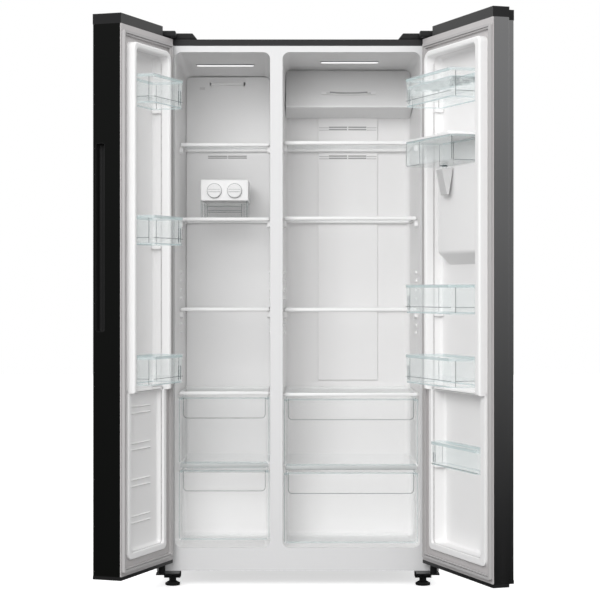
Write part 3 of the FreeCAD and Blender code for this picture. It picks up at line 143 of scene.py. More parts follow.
def dust_veil_group():
    """A thin patchy veil on faces that look up."""
    group, given, result = effect_group("dust_veil", [("Amount", 0.1)], ["Mask"])
    place = add(group, "ShaderNodeTexCoord")
    patches = add(group, "ShaderNodeTexNoise", in_Scale=9.0, in_Detail=4.0)
    facing = add(group, "ShaderNodeNewGeometry")
    split = add(group, "ShaderNodeSeparateXYZ")
    level = add(group, "ShaderNodeMath", operation="MULTIPLY", use_clamp=True)
    share = add(group, "ShaderNodeMath", operation="MULTIPLY", use_clamp=True)
    link = group.links.new
    link(place.outputs["Object"], patches.inputs["Vector"])
    link(facing.outputs["Normal"], split.inputs["Vector"])
    link(split.outputs["Z"], level.inputs[0])
    link(patches.outputs["Fac"], level.inputs[1])
    link(level.outputs[0], share.inputs[0])
    link(given.outputs["Amount"], share.inputs[1])
    link(share.outputs[0], result.inputs["Mask"])
    return group


GRAIN = moulded_grain_group()
BRUSHED = brushed_lines_group()
DUST = dust_veil_group()


def new_material(name):
    material = bpy.data.materials.new(name)
    material.use_nodes = True
    tree = material.node_tree
    shader = tree.nodes["Principled BSDF"]
    return material, tree, shader


def ranged(tree, source, low, high):
    """A 0 to 1 value spread between two numbers."""
    spread = add(tree, "ShaderNodeMapRange", in_To_Min=low, in_To_Max=high)
    spread.inputs["From Min"].default_value = 0.25
    spread.inputs["From Max"].default_value = 0.75
    tree.links.new(source, spread.inputs["Value"])
    return spread.outputs["Result"]


def solid_finish(name, colour, roughness, metallic=0.0, grain=500.0, bump=0.04, drift=0.03,
                 brushed=0.0, coat=0.0, dust=0.0, glow=0.0, gloss=0.5):
    """An opaque moulded, painted or metal finish."""
    material, tree, shader = new_material(name)
    link = tree.links.new
    texture = add(tree, "ShaderNodeGroup", node_tree=GRAIN)
    texture.inputs["Scale"].default_value = grain
    darker = tuple(channel * (1 - drift) for channel in colour)
    lighter = tuple(min(1.0, channel * (1 + drift)) for channel in colour)
    tone = add(tree, "ShaderNodeMix", data_type="RGBA")
    tone.inputs[6].default_value = (*darker, 1)
    tone.inputs[7].default_value = (*lighter, 1)
    link(texture.outputs["Drift"], tone.inputs[0])
    veil = add(tree, "ShaderNodeGroup", node_tree=DUST)
    veil.inputs["Amount"].default_value = dust
    dusty = add(tree, "ShaderNodeMix", data_type="RGBA")
    dusty.inputs[7].default_value = (0.55, 0.54, 0.52, 1)
    link(veil.outputs["Mask"], dusty.inputs[0])
    link(tone.outputs[2], dusty.inputs[6])
    link(dusty.outputs[2], shader.inputs["Base Color"])
    height = texture.outputs["Height"]
    if brushed:
        lines = add(tree, "ShaderNodeGroup", node_tree=BRUSHED)
        lines.inputs["Lines"].default_value = brushed
        height = lines.outputs["Height"]
    link(ranged(tree, height, roughness * 0.85, roughness * 1.15), shader.inputs["Roughness"])
    relief = add(tree, "ShaderNodeBump", in_Strength=bump, in_Distance=0.0004)
    link(height, relief.inputs["Height"])
    link(relief.outputs["Normal"], shader.inputs["Normal"])
    shader.inputs["Metallic"].default_value = metallic
    shader.inputs["Specular IOR Level"].default_value = gloss
    shader.inputs["Coat Weight"].default_value = coat
    shader.inputs["Coat Roughness"].default_value = 0.08
    if glow:
        shader.inputs["Emission Color"].default_value = (1, 1, 1, 1)
        shader.inputs["Emission Strength"].default_value = glow
    return material


def clear_finish(name, colour, face, rim, roughness=0.06):
    """Clear plastic or glass: nearly unseen face on, denser where it is seen along its wall."""
    material, tree, shader = new_material(name)
    link = tree.links.new
    shader.inputs["Base Color"].default_value = (*colour, 1)
    shader.inputs["IOR"].default_value = 1.49
    texture = add(tree, "ShaderNodeGroup", node_tree=GRAIN)
    texture.inputs["Scale"].default_value = 60.0
    link(ranged(tree, texture.outputs["Drift"], roughness * 0.7, roughness * 1.4), shader.inputs["Roughness"])
    edge_on = add(tree, "ShaderNodeLayerWeight", in_Blend=0.35)
    density = add(tree, "ShaderNodeMapRange", in_To_Min=face, in_To_Max=rim)
    link(edge_on.outputs["Facing"], density.inputs["Value"])
    link(density.outputs["Result"], shader.inputs["Alpha"])
    return material


LINER_WHITE = solid_finish("liner_white", (0.87, 0.867, 0.866), 0.46, grain=260, bump=0.03, drift=0.012,
                           gloss=0.3)
COVER_WHITE = solid_finish("air_cover_white", (0.85, 0.85, 0.85), 0.46, grain=420, bump=0.03, drift=0.01,
                           gloss=0.3)
TRIM_WHITE = solid_finish("trim_white", (0.90, 0.90, 0.90), 0.3, grain=500, bump=0.02, drift=0.01)
KNOB_WHITE = solid_finish("knob_white", (0.84, 0.84, 0.84), 0.28, grain=300, bump=0.02, drift=0.02, coat=0.3)
SPOUT_GREY = solid_finish("spout_grey", (0.62, 0.62, 0.62), 0.35, grain=500, bump=0.03, drift=0.02)
BAR_GREY = solid_finish("pearl_bar", (0.55, 0.57, 0.57), 0.18, grain=500, bump=0.02, drift=0.03, coat=0.4)
# The frame's white paint, darkened to stand for the shade on the front frame and the base cover: partly its own
# colour, partly painted shade.
SHADED_FRAME_WHITE = solid_finish("frame_paint_and_painted_shade", (0.74, 0.74, 0.745), 0.32, grain=350, bump=0.03, drift=0.012)
# The door flanges' light grey, darkened further to stand for the shade on them: partly their own colour, partly
# painted shade.
SHADED_FLANGE_GREY = solid_finish("flange_grey_and_painted_shade", (0.52, 0.50, 0.50), 0.42, grain=350, bump=0.03, drift=0.02)
DOOR_BLACK = solid_finish("black_door_sheet", (0.0035, 0.0038, 0.0035), 0.36, grain=600, bump=0.05, drift=0.1,
                          gloss=0.08)
DOOR_GREY = solid_finish("dark_brushed_sheet", (0.17, 0.17, 0.172), 0.20, metallic=1.0, brushed=700.0,
                         bump=0.05, drift=0.05)
BODY_PAINT = solid_finish("dark_body_paint", (0.030, 0.030, 0.031), 0.40, grain=450, bump=0.06, drift=0.06,
                          dust=0.02, gloss=0.2)
CAP_PLASTIC = solid_finish("cap_plastic", (0.012, 0.012, 0.0125), 0.38, grain=700, bump=0.1, drift=0.08,
                           gloss=0.2)
POCKET_PLASTIC = solid_finish("pocket_plastic", (0.014, 0.014, 0.014), 0.4, grain=700, bump=0.08, drift=0.08,
                              gloss=0.25)
HINGE_PAINT = solid_finish("hinge_paint", (0.006, 0.006, 0.0065), 0.35, grain=500, bump=0.06, drift=0.1,
                           gloss=0.3)
COVER_BLACK = solid_finish("hinge_cover_black", (0.008, 0.008, 0.0085), 0.35, grain=650, bump=0.08, drift=0.1,
                           gloss=0.35)
BRIGHT_STEEL = solid_finish("bright_steel", (0.62, 0.62, 0.63), 0.24, metallic=1.0, brushed=500.0, bump=0.04)
GALVANISED = solid_finish("galvanised_sheet", (0.55, 0.56, 0.58), 0.42, metallic=0.85, grain=40, bump=0.06,
                          drift=0.12, dust=0.1)
GASKET_GREY = solid_finish("gasket_rubber", (0.46, 0.45, 0.45), 0.55, grain=900, bump=0.08, drift=0.03)
FOOT_RUBBER = solid_finish("foot_rubber", (0.006, 0.006, 0.006), 0.6, grain=600, bump=0.15, drift=0.1,
                           dust=0.05, gloss=0.3)
ROLLER_NYLON = solid_finish("roller_nylon", (0.05, 0.05, 0.05), 0.45, grain=500, bump=0.06)
COMPRESSOR_ENAMEL = solid_finish("compressor_enamel", (0.012, 0.012, 0.014), 0.3, grain=120, bump=0.08,
                                 dust=0.2)
COIL_METAL = solid_finish("coil_aluminium", (0.70, 0.71, 0.72), 0.34, metallic=0.9, grain=300, bump=0.05)
FAN_PLASTIC = solid_finish("fan_plastic", (0.05, 0.05, 0.055), 0.4, grain=500, bump=0.05, dust=0.15)
PAN_PLASTIC = solid_finish("pan_plastic", (0.10, 0.10, 0.10), 0.5, grain=400, bump=0.08, dust=0.2)
BOARD_LACQUER = solid_finish("board_lacquer", (0.03, 0.16, 0.07), 0.35, grain=800, bump=0.1, drift=0.15)
FOAM = solid_finish("insulating_foam", (0.72, 0.62, 0.40), 0.85, grain=250, bump=0.4, drift=0.08)
NICHE_GLOSS = solid_finish("niche_plastic", (0.02, 0.02, 0.021), 0.16, grain=500, bump=0.02, coat=0.5)
LEVER_PLASTIC = solid_finish("lever_plastic", (0.18, 0.18, 0.19), 0.25, grain=500, bump=0.03)
LAMP_LENS = solid_finish("lamp_lens", (0.95, 0.95, 0.95), 0.4, grain=900, bump=0.02, glow=0.9)
LAMP_SURROUND = solid_finish("lamp_surround", (0.55, 0.56, 0.58), 0.35, grain=600, bump=0.03)
SOFT_SHADE = solid_finish("soft_slot_shade", (0.40, 0.40, 0.40), 0.5, grain=400, bump=0.04)
CLEAR_WALL = clear_finish("clear_plastic", (0.86, 0.93, 0.93), 0.035, 0.42)
DRAWER_WALL = clear_finish("drawer_plastic", (0.88, 0.93, 0.93), 0.015, 0.22)
CLEAR_RIM = clear_finish("tinted_rim_plastic", (0.50, 0.63, 0.64), 0.22, 0.66)
# Near-black strips on the clear parts' corners, lips, rims and gaps are painted shade: clear plastic looks dark
# where it is seen edge-on.
PAINTED_EDGE_SHADE = clear_finish("painted_edge_shade", (0.05, 0.075, 0.08), 0.72, 0.95)
SHELF_GLASS = clear_finish("shelf_glass", (0.80, 0.87, 0.865), 0.10, 0.45, roughness=0.04)

SEE_THROUGH = (CLEAR_WALL, CLEAR_RIM, PAINTED_EDGE_SHADE, DRAWER_WALL, SHELF_GLASS)

CARRIED_OVER = {
    "outer_wrapper": BODY_PAINT, "back_panel": GALVANISED, "base_cover": SHADED_FRAME_WHITE,
    "base_frame": GALVANISED, "foam_insulation": FOAM,
    "top_hinges": BRIGHT_STEEL, "bottom_hinges": HINGE_PAINT,
    "compressor": COMPRESSOR_ENAMEL, "condenser": COIL_METAL, "fan_shroud": FAN_PLASTIC,
    "condenser_fan": FAN_PLASTIC, "evaporator": COIL_METAL, "evaporator_fan": FAN_PLASTIC,
    "drip_pan": PAN_PLASTIC, "control_board": BOARD_LACQUER, "machine_cover": GALVANISED,
    "rear_rollers": ROLLER_NYLON,
    "left_door_caps": CAP_PLASTIC, "right_door_caps": CAP_PLASTIC,
    "dispenser_housing": NICHE_GLOSS, "dispenser_lever": LEVER_PLASTIC,
}
BODY_OF = {node: body for body, nodes in RECORD["behaviour"]["bodies"].items() for node in nodes}


# ---------------------------------------------------------------- shapes

def brick(low, high, radius=0.0, along="xyz", segments=3):
    """A box between two corners, with its edges along the named axes rounded."""
    mesh = bmesh.new()
    low, high = Vector(low), Vector(high)
    bmesh.ops.create_cube(mesh, size=1.0)
    bmesh.ops.scale(mesh, vec=high - low, verts=mesh.verts)
    bmesh.ops.translate(mesh, vec=(low + high) / 2, verts=mesh.verts)
    if radius:
        chosen = [edge for edge in mesh.edges if axis_of(edge) in along]
        round_edges(mesh, chosen, radius, segments)
    return mesh


def axis_of(edge):
    """The letter of the axis that an edge runs along most."""
    run = edge.verts[1].co - edge.verts[0].co
    return max("xyz", key=lambda letter: abs(getattr(run, letter)))


def round_edges(mesh, edges, radius, segments=3):
    bmesh.ops.bevel(mesh, geom=edges, offset=radius, offset_type="OFFSET", segments=segments,
                    profile=0.5, affect="EDGES", material=-1, clamp_overlap=True)


def move_grown(mesh, grown, run):
    """Move what an extrusion made, and turn all faces outwards."""
    moved = [item for item in grown["geom"] if isinstance(item, bmesh.types.BMVert)]
    bmesh.ops.translate(mesh, vec=run, verts=moved)
    bmesh.ops.recalc_face_normals(mesh, faces=mesh.faces)


def carry_faces(mesh, run):
    """Extrude the whole flat mesh into a solid."""
    move_grown(mesh, bmesh.ops.extrude_face_region(mesh, geom=mesh.faces[:]), run)


def carry_edges(mesh, run):
    """Extrude a chain of edges into a sheet."""
    move_grown(mesh, bmesh.ops.extrude_edge_only(mesh, edges=mesh.edges[:]), run)


def rounded_face(mesh, corners, radii, y, segments=6):
    """A flat face at one depth from (x, z) corners, each corner with its own radius."""
    points = [mesh.verts.new((x, y, z)) for x, z in corners]
    mesh.faces.new(points)
    for point, radius in zip(points, radii):
        if radius:
            bmesh.ops.bevel(mesh, geom=[point], offset=radius, offset_type="OFFSET", segments=segments,
                            profile=0.5, affect="VERTICES", material=-1)


def rectangle(x, z):
    return [(x[0], z[0]), (x[1], z[0]), (x[1], z[1]), (x[0], z[1])]


def panel(outer, y, radii=(0, 0, 0, 0), holes=(), crest=0.0, crest_y=None):
    """A flat plate in the front plane's directions, with rounded corners and rounded holes."""
    mesh = bmesh.new()
    rounded_face(mesh, outer, radii, y[0])
    for corners, radius in holes:
        rounded_face(mesh, corners, [radius] * len(corners), y[0])
    if holes:
        bmesh.ops.delete(mesh, geom=mesh.faces[:], context="FACES_ONLY")
        bmesh.ops.triangle_fill(mesh, use_beauty=True, use_dissolve=False, edges=mesh.edges[:])
    carry_faces(mesh, (0, y[1] - y[0], 0))
    if crest:
        level = y[1] if crest_y is None else crest_y
        rim = [edge for edge in mesh.edges
               if all(abs(vert.co.y - level) < 1e-6 for vert in edge.verts)
               and edge.calc_face_angle(0) > 1.0]
        round_edges(mesh, rim, crest)
    return mesh


def bar_along_x(profile, x, radius=0.0, segments=3):
    """A closed (y, z) outline carried along X, with its long edges rounded."""
    mesh = bmesh.new()
    mesh.faces.new([mesh.verts.new((x[0], y, z)) for y, z in profile])
    carry_faces(mesh, (x[1] - x[0], 0, 0))
    if radius:
        round_edges(mesh, [edge for edge in mesh.edges if axis_of(edge) == "x"], radius, segments)
    return mesh


def drum(centre, axis, radius, length, round_rim=0.0, segments=32):
    """A cylinder round a centre point, along one axis letter."""
    mesh = bmesh.new()
    bmesh.ops.create_cone(mesh, cap_ends=True, segments=segments, radius1=radius, radius2=radius, depth=length)
    if round_rim:
        rims = [edge for edge in mesh.edges if edge.calc_face_angle(0) > 1.0]
        round_edges(mesh, rims, round_rim, 2)
    bmesh.ops.transform(mesh, matrix=Matrix.Translation(Vector(centre)) @ AXIS_TURN[axis], verts=mesh.verts)
    return mesh


def ring(centre, axis, outer, inner, length, segments=32):
    """A flat ring with a square section, round one axis letter."""
    mesh = bmesh.new()
    rims = []
    for radius in (outer, inner):
        circle = bmesh.ops.create_circle(mesh, cap_ends=False, segments=segments, radius=radius)
        rims += list({edge for vert in circle["verts"] for edge in vert.link_edges})
    bmesh.ops.bridge_loops(mesh, edges=rims)
    carry_faces(mesh, (0, 0, length))
    bmesh.ops.translate(mesh, vec=(0, 0, -length / 2), verts=mesh.verts)
    bmesh.ops.transform(mesh, matrix=Matrix.Translation(Vector(centre)) @ AXIS_TURN[axis], verts=mesh.verts)
    return mesh


def open_box(low, high, wall, corner, foot, taper=0.0, floor=True):
    """A thin-walled box open at its top, with rounded upright corners and a rounded foot."""
    mesh = brick(low, high)
    if taper:
        bottom = [vert for vert in mesh.verts if vert.co.z < (low[2] + high[2]) / 2]
        middle = (Vector(low) + Vector(high)) / 2
        for vert in bottom:
            vert.co.x += math.copysign(taper, middle.x - vert.co.x)
            vert.co.y += math.copysign(taper, middle.y - vert.co.y)
    lids = [face for face in mesh.faces if face.normal.z > 0.9 or (not floor and face.normal.z < -0.9)]
    bmesh.ops.delete(mesh, geom=lids, context="FACES")
    round_edges(mesh, [edge for edge in mesh.edges if axis_of(edge) == "z"], corner, 5)
    if floor and foot:
        base = [edge for edge in mesh.edges
                if all(vert.co.z < low[2] + 1e-5 for vert in edge.verts) and not edge.is_boundary]
        round_edges(mesh, base, foot, 3)
    bmesh.ops.recalc_face_normals(mesh, faces=mesh.faces)
    thicken(mesh, wall)
    return mesh


def thicken(mesh, wall):
    """Give an open surface a wall behind its outward side."""
    bmesh.ops.solidify(mesh, geom=mesh.faces[:], thickness=wall)
    bmesh.ops.recalc_face_normals(mesh, faces=mesh.faces)


def together(*meshes):
    """Several shapes in one mesh."""
    whole = bmesh.new()
    for mesh in meshes:
        scratch = bpy.data.meshes.new("scratch")
        mesh.to_mesh(scratch)
        mesh.free()
        whole.from_mesh(scratch)
        bpy.data.meshes.remove(scratch)
    return whole


# ---------------------------------------------------------------- placing pieces

def hanging(side):
    """The transform from a closed door's own directions to the open door."""
    name = f"{side}_door_swing"
    joint = [item for item in frame["joints"] if item["name"] == name][0]
    sign = SIDES[side]
    pivot = Vector((*joint["pos_m"][:2], 0))
    turn = Matrix.Rotation(-sign * math.radians(joint["range_deg"][0]), 4, "Z")
    lay = Matrix(((-sign, 0, 0, sign * CABINET_HALF), (0, 1, 0, -GASKET_GAP), (0, 0, 1, 0), (0, 0, 0, 1)))
    return Matrix.Translation(pivot) @ turn @ Matrix.Translation(-pivot) @ lay


HANG = {side: hanging(side) for side in SIDES}


def closed_box(node, side):
    """Lowest and highest (u, w, z) corners of a CAD node on a door."""
    back = HANG[side].inverted()
    points = [back @ vert.co for vert in frame["nodes"][node].data.vertices]
    low = Vector([min(point[axis] for point in points) for axis in range(3)])
    high = Vector([max(point[axis] for point in points) for axis in range(3)])
    return low, high


def piece(name, mesh, material, node, side=None):
    """Finish a mesh as one piece in place of a CAD node, on that node's body; side hangs it on a door."""
    if side:
        bmesh.ops.transform(mesh, matrix=HANG[side], verts=mesh.verts)
        if SIDES[side] > 0:
            bmesh.ops.reverse_faces(mesh, faces=mesh.faces)
    for face in mesh.faces:
        face.smooth = True
    for edge in mesh.edges:
        edge.smooth = edge.calc_face_angle(0) < math.radians(38)
    data = bpy.data.meshes.new(name)
    mesh.to_mesh(data)
    mesh.free()
    data.materials.append(material)
    item = bpy.data.objects.new(name, data)
    bpy.context.scene.collection.objects.link(item)
    if material in SEE_THROUGH:
        item.visible_shadow = False
        item.visible_diffuse = False
    even = item.modifiers.new("even_shading", "WEIGHTED_NORMAL")
    even.keep_sharp = True
    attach(item, BODY_OF[node])
    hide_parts(node)


# ---------------------------------------------------------------- cabinet

OPENINGS = {}
for side in ("freezer", "fridge"):
    liner_low, liner_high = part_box(f"{side}_liner")
    OPENINGS[side] = (
        (liner_low.x + LINER_WALL, liner_high.x - LINER_WALL),
        (liner_low.z + LINER_WALL, liner_high.z - LINER_WALL),
        liner_high.y - LINER_WALL,
    )
CEILING_DROP = {"freezer": 0.028, "fridge": 0.004}


def front_frame():
    low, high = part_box("front_frame")
    holes = [(rectangle(x, z), CORNER) for x, z, _ in OPENINGS.values()]
    plate = panel(rectangle((low.x, high.x), (low.z, high.z)), (low.y, high.y), (0.002,) * 4, holes,
                  crest=0.003, crest_y=low.y)
    piece("front_frame_panel", plate, SHADED_FRAME_WHITE, "front_frame")


def liner_shell(side):
    """A one-piece moulded liner with soft corners, a tapered rear and the step at its foot."""
    x, z, rear = OPENINGS[side]
    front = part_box(f"{side}_liner")[0].y
    roof_rear = z[1] - CEILING_DROP[side]
    mesh = bar_along_x([(front, z[0]), (STEP_FRONT, z[0]), (STEP_FRONT, STEP_TOP), (rear, STEP_TOP),
                        (rear, roof_rear), (front, z[1])], x)
    middle = (x[0] + x[1]) / 2
    for vert in mesh.verts:
        lean = LINER_DRAFT * (vert.co.y - front) / (rear - front)
        vert.co.x += math.copysign(lean, middle - vert.co.x)
    bmesh.ops.recalc_face_normals(mesh, faces=mesh.faces)
    mouth = [item for item in mesh.faces
             if item.normal.y < -0.9 and item.calc_center_median().y < front + 0.001]
    bmesh.ops.delete(mesh, geom=mouth, context="FACES")
    nose = [edge for edge in mesh.edges
            if all(abs(vert.co.y - STEP_FRONT) < 1e-5 and abs(vert.co.z - STEP_TOP) < 1e-5
                   for vert in edge.verts)]
    soft = [edge for edge in mesh.edges if not edge.is_boundary and edge not in nose]
    round_edges(mesh, soft, CORNER, 6)
    bmesh.ops.reverse_faces(mesh, faces=mesh.faces)
    thicken(mesh, 0.002)
    piece(f"{side}_liner_shell", mesh, LINER_WHITE, f"{side}_liner")


def shelf_ledges(side):
    """Moulded ledges under the shelves, each with a bracket near its front."""
    x = OPENINGS[side][0]
    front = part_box(f"{side}_upper_drawer")[0].y
    meshes = []
    shelf_front = SHELF_FRONT[side]
    levels = [(top - 0.004, shelf_front) for top in SHELF_TOPS]
    levels += [(DRAWER_SHELF_TOP - 0.004, front), (DIVIDER_TOP + 0.001, front + 0.018)]
    for top, start in levels:
        for wall, reach in ((x[0], 0.012), (x[1], -0.012)):
            left, right = sorted((wall + reach, wall - 0.3 * reach))
            meshes.append(brick((left, start + 0.022, top - 0.008), (right, 0.440, top), 0.003))
    for top in SHELF_TOPS:
        for wall, sign in ((x[0], 1), (x[1], -1)):
            bracket = bar_along_x([(shelf_front + 0.014, top - 0.012), (shelf_front + 0.060, top - 0.012),
                                   (shelf_front + 0.060, top - 0.020), (shelf_front + 0.022, top - 0.036),
                                   (shelf_front + 0.014, top - 0.030)],
                                  sorted((wall + sign * 0.001, wall + sign * 0.013)))
            round_edges(bracket, bracket.edges[:], 0.0015, 2)
            meshes.append(bracket)
    piece(f"{side}_liner_ledges", together(*meshes), LINER_WHITE, f"{side}_liner")


def rail_slots(side):
    """Short raised catches in a column on each wall, where the shelves may be hung."""
    x = OPENINGS[side][0]
    meshes = []
    depth = SHELF_FRONT[side] + 0.040
    for top in (1.012, 0.984, 0.953, 0.924, 0.866, 0.838, 0.812):
        for wall, sign in ((x[0], 1), (x[1], -1)):
            left, right = sorted((wall + sign * 0.008, wall - sign * 0.001))
            meshes.append(brick((left, depth, top - 0.006), (right, depth + 0.030, top + 0.004), 0.003))
    piece(f"{side}_liner_catches", together(*meshes), LINER_WHITE, f"{side}_liner")


def freezer_air_cover():
    low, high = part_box("evaporator_cover")
    slots = [(rectangle((-0.306, -0.182), (1.660, 1.672)), 0.0045)]
    slots += [(rectangle(span, (level, level + 0.0035)), 0.0015)
              for level in (1.414, 1.4075) for span in (LOUVRE_LEFT, LOUVRE_RIGHT)]
    plate = panel(rectangle((low.x, high.x), (low.z, high.z)), (low.y, high.y),
                  (0.002, 0.002, 0.016, 0.016), slots, crest=0.0008, crest_y=low.y)
    hood = bar_along_x([(low.y + 0.0008, 1.6735), (low.y - 0.009, 1.6715), (low.y - 0.007, 1.660),
                        (low.y + 0.0008, 1.6585)], (-0.300, -0.188), 0.0015)
    ribs = [brick((x, low.y - 0.0095, 1.6595), (x + 0.0014, low.y + 0.001, 1.6725), 0.0004)
            for x in [-0.302 + 0.0093 * step for step in range(13)]]
    piece("freezer_air_cover", together(plate, hood, *ribs), COVER_WHITE, "evaporator_cover")
    marks = [brick((-0.3405, low.y - 0.0006, z), (-0.322, low.y + 0.0004, z + 0.0012)) for z in (1.652, 1.648)]
    # A grey sheet behind the louvre holes is painted shade, standing for the dark space seen through them.
    painted_slot_shade = brick((LOUVRE_LEFT[0], high.y + 0.0005, 1.404), (LOUVRE_RIGHT[1], high.y + 0.0015, 1.420))
    piece("freezer_air_shade", together(painted_slot_shade, *marks), SOFT_SHADE, "evaporator_cover")


def fridge_air_housing():
    """The sloped housing with its bowed slot, and the flat column below it with split louvres."""
    low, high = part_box("fridge_air_duct")
    foot, nose, brow, back = 1.571, 0.300, 0.431, 0.4485
    profile = [(brow, high.z - 0.001), (nose, foot), (back, 1.545), (back, high.z - 0.001)]
    housing = bar_along_x(profile, (low.x, high.x), 0.010, 4)
    column = brick((0.070, 0.4425, 0.640), (0.276, 0.4495, 1.556), 0.0015)
    piece("fridge_air_housing", housing, COVER_WHITE, "fridge_air_duct")
    piece("fridge_air_column", column, LINER_WHITE, "fridge_air_duct")
    slope = math.atan2(high.z - foot, brow - nose)
    middle = Matrix.Translation(Vector((FRIDGE_MIDDLE, 0.340, 1.622)))
    place = middle @ Matrix.Rotation(slope - math.pi / 2, 4, "X")
    # The frame is white trim; the bowed slot inside it is a grey strip of painted shade.
    for name, width, lift, height, sag, material in (
        ("fridge_air_frame", 0.186, 0.0018, 0.013, 0.003, TRIM_WHITE),
        ("fridge_air_slot", 0.128, 0.0026, 0.0075, 0.004, SOFT_SHADE),
    ):
        slot = bmesh.new()
        bmesh.ops.create_cube(slot, size=1.0)
        bmesh.ops.scale(slot, vec=(width, lift, height), verts=slot.verts)
        lengthwise = [edge for edge in slot.edges if axis_of(edge) == "x"]
        bmesh.ops.subdivide_edges(slot, edges=lengthwise, cuts=24, use_grid_fill=True)
        for vert in slot.verts:
            vert.co.z += sag * (2 * vert.co.x / width) ** 2
        bmesh.ops.transform(slot, matrix=place, verts=slot.verts)
        piece(name, slot, material, "fridge_air_duct")
    # The wings at the slot's ends and the louvres are grey strips of painted shade standing for their openings.
    wings = [brick((across - 0.009, -0.0020, -0.0012), (across + 0.009, 0.0004, 0.0012), 0.0006)
             for across in (-0.067, 0.067)]
    for wing in wings:
        bmesh.ops.transform(wing, matrix=place, verts=wing.verts)
    louvres = []
    for level in (1.505, 1.4055):
        for row in (0.0, 0.0080):
            for start, stop in ((0.0735, 0.1065), (0.1075, 0.1705), (0.1745, 0.2370), (0.2385, 0.2725)):
                upper = level + row + (0.0046 if 0.1 < start < 0.2 else 0.0014)
                louvres.append(brick((start, 0.4412, level + row), (stop, 0.4428, upper), 0.0004))
    piece("fridge_air_slots", together(*wings, *louvres), SOFT_SHADE, "fridge_air_duct")


def ceiling_lamps():
    """A frosted lens in a slim frame on each ceiling."""
    mouth, place = 0.014, 0.225
    for side in ("freezer", "fridge"):
        x, z, rear = OPENINGS[side]
        middle = (x[0] + x[1]) / 2
        slope = CEILING_DROP[side] / (rear - mouth)
        top = z[1] - (place - mouth) * slope
        lens = brick((middle - 0.094, 0.2200, top - 0.0056), (middle + 0.094, 0.2300, top - 0.0018), 0.0015)
        piece(f"{side}_lamp_lens", lens, LAMP_LENS, "ceiling_lamps")
        tray = brick((middle - 0.098, 0.2185, top - 0.0034), (middle + 0.098, 0.2315, top - 0.0004), 0.0015)
        piece(f"{side}_lamp_tray", tray, LAMP_SURROUND, "ceiling_lamps")


def shelf_parts(side):
    """Glass plates with a rounded front bar and a slim rear bar."""
    x = OPENINGS[side][0]
    inset = LINER_DRAFT + 0.001
    span = (x[0] + inset, x[1] - inset)
    drawer_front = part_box(f"{side}_upper_drawer")[0].y
    wall = SHELF_REAR[side]
    glass = []
    bars = []
    for top, start in [(top, SHELF_FRONT[side]) for top in SHELF_TOPS] + [(DRAWER_SHELF_TOP, drawer_front)]:
        glass.append(brick((span[0] + 0.001, start + 0.006, top - 0.0038),
                           (span[1] - 0.001, wall - 0.004, top - 0.0002), 0.0012))
        bars.append(brick((span[0], start, top - 0.012), (span[1], start + 0.013, top), 0.004, "x"))
        for left in (span[0], span[1] - 0.004):
            bars.append(brick((left, start + 0.010, top - 0.0105), (left + 0.004, wall - 0.006, top - 0.0005),
                              0.001))
        bars.append(brick((span[0], wall - 0.015, top - 0.010), (span[1], wall - 0.0035, top), 0.003, "x"))
    divider = brick((span[0], drawer_front + 0.005, DIVIDER_TOP - 0.014),
                    (span[1], drawer_front + 0.017, DIVIDER_TOP), 0.004, "x")
    piece(f"{side}_drawer_divider", divider, BAR_GREY, "shelf_trims")
    piece(f"{side}_shelf_glass", together(*glass), SHELF_GLASS, "glass_shelves")
    piece(f"{side}_shelf_bars", together(*bars), TRIM_WHITE, "shelf_trims")


def drawer(node):
    """A clear drawer: walls with soft corners, a front with a sunk grip, and tinted rims."""
    low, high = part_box(node)
    lip, wall, grip_height, grip_depth = 0.005, 0.0028, 0.068, 0.018
    body_low = Vector((low.x + lip, low.y + 0.002, low.z))
    body_high = Vector((high.x - lip, high.y, high.z))
    tub = open_box(body_low, body_high, wall, 0.014, 0.008)
    face = panel(rectangle((low.x + 0.0005, high.x - 0.0005), (low.z, high.z - grip_height)),
                 (low.y, low.y + 0.003), (0.008, 0.008, 0, 0), crest=0.001, crest_y=low.y)
    x0, x1 = body_low.x + 0.008, body_high.x - 0.008
    z0 = high.z - grip_height
    back = panel(rectangle((x0 - 0.002, x1 + 0.002), (z0 - 0.002, high.z - 0.001)),
                 (low.y + grip_depth, low.y + grip_depth + 0.0028), (0.014, 0.014, 0, 0))
    piece(f"{node}_tub", together(tub, face, back), DRAWER_WALL, node)
    top = high.z
    rims = [brick((left, low.y + 0.0003, top - 0.006), (right, low.y + 0.0045, top), 0.0012)
            for left, right in ((low.x, x0), (x1, high.x))]
    grip_back = low.y + grip_depth
    rims.append(brick((x0, grip_back - 0.001, top - 0.005), (x1, grip_back + 0.004, top), 0.0012))
    rims += [brick((left, low.y + 0.004, top - 0.008), (left + 0.0035, high.y - 0.010, top), 0.001)
             for left in (body_low.x, body_high.x - 0.0035)]
    rims.append(brick((body_low.x + 0.01, high.y - 0.0035, top - 0.008),
                      (body_high.x - 0.01, high.y, top), 0.001))
    rims.append(brick((low.x + 0.006, low.y, low.z), (high.x - 0.006, low.y + 0.004, low.z + 0.004), 0.0012))
    sides = [brick((x, low.y + 0.0002, low.z + 0.003), (x + 0.003, low.y + 0.0045, high.z - 0.002), 0.0008)
             for x in (low.x, high.x - 0.003)]
    piece(f"{node}_rims", together(*rims, *sides), CLEAR_RIM, node)
    piece(f"{node}_grip_wall", grip_border(x0, x1, z0, high.z - 0.001, low.y + 0.001, grip_depth, 0.0022),
          DRAWER_WALL, node)
    # The dark outline round the grip's mouth is painted shade.
    line = grip_border(x0, x1, z0, high.z - 0.001, low.y + 0.0002, 0.0016, 0.0012)
    piece(f"{node}_grip_line", line, PAINTED_EDGE_SHADE, node)


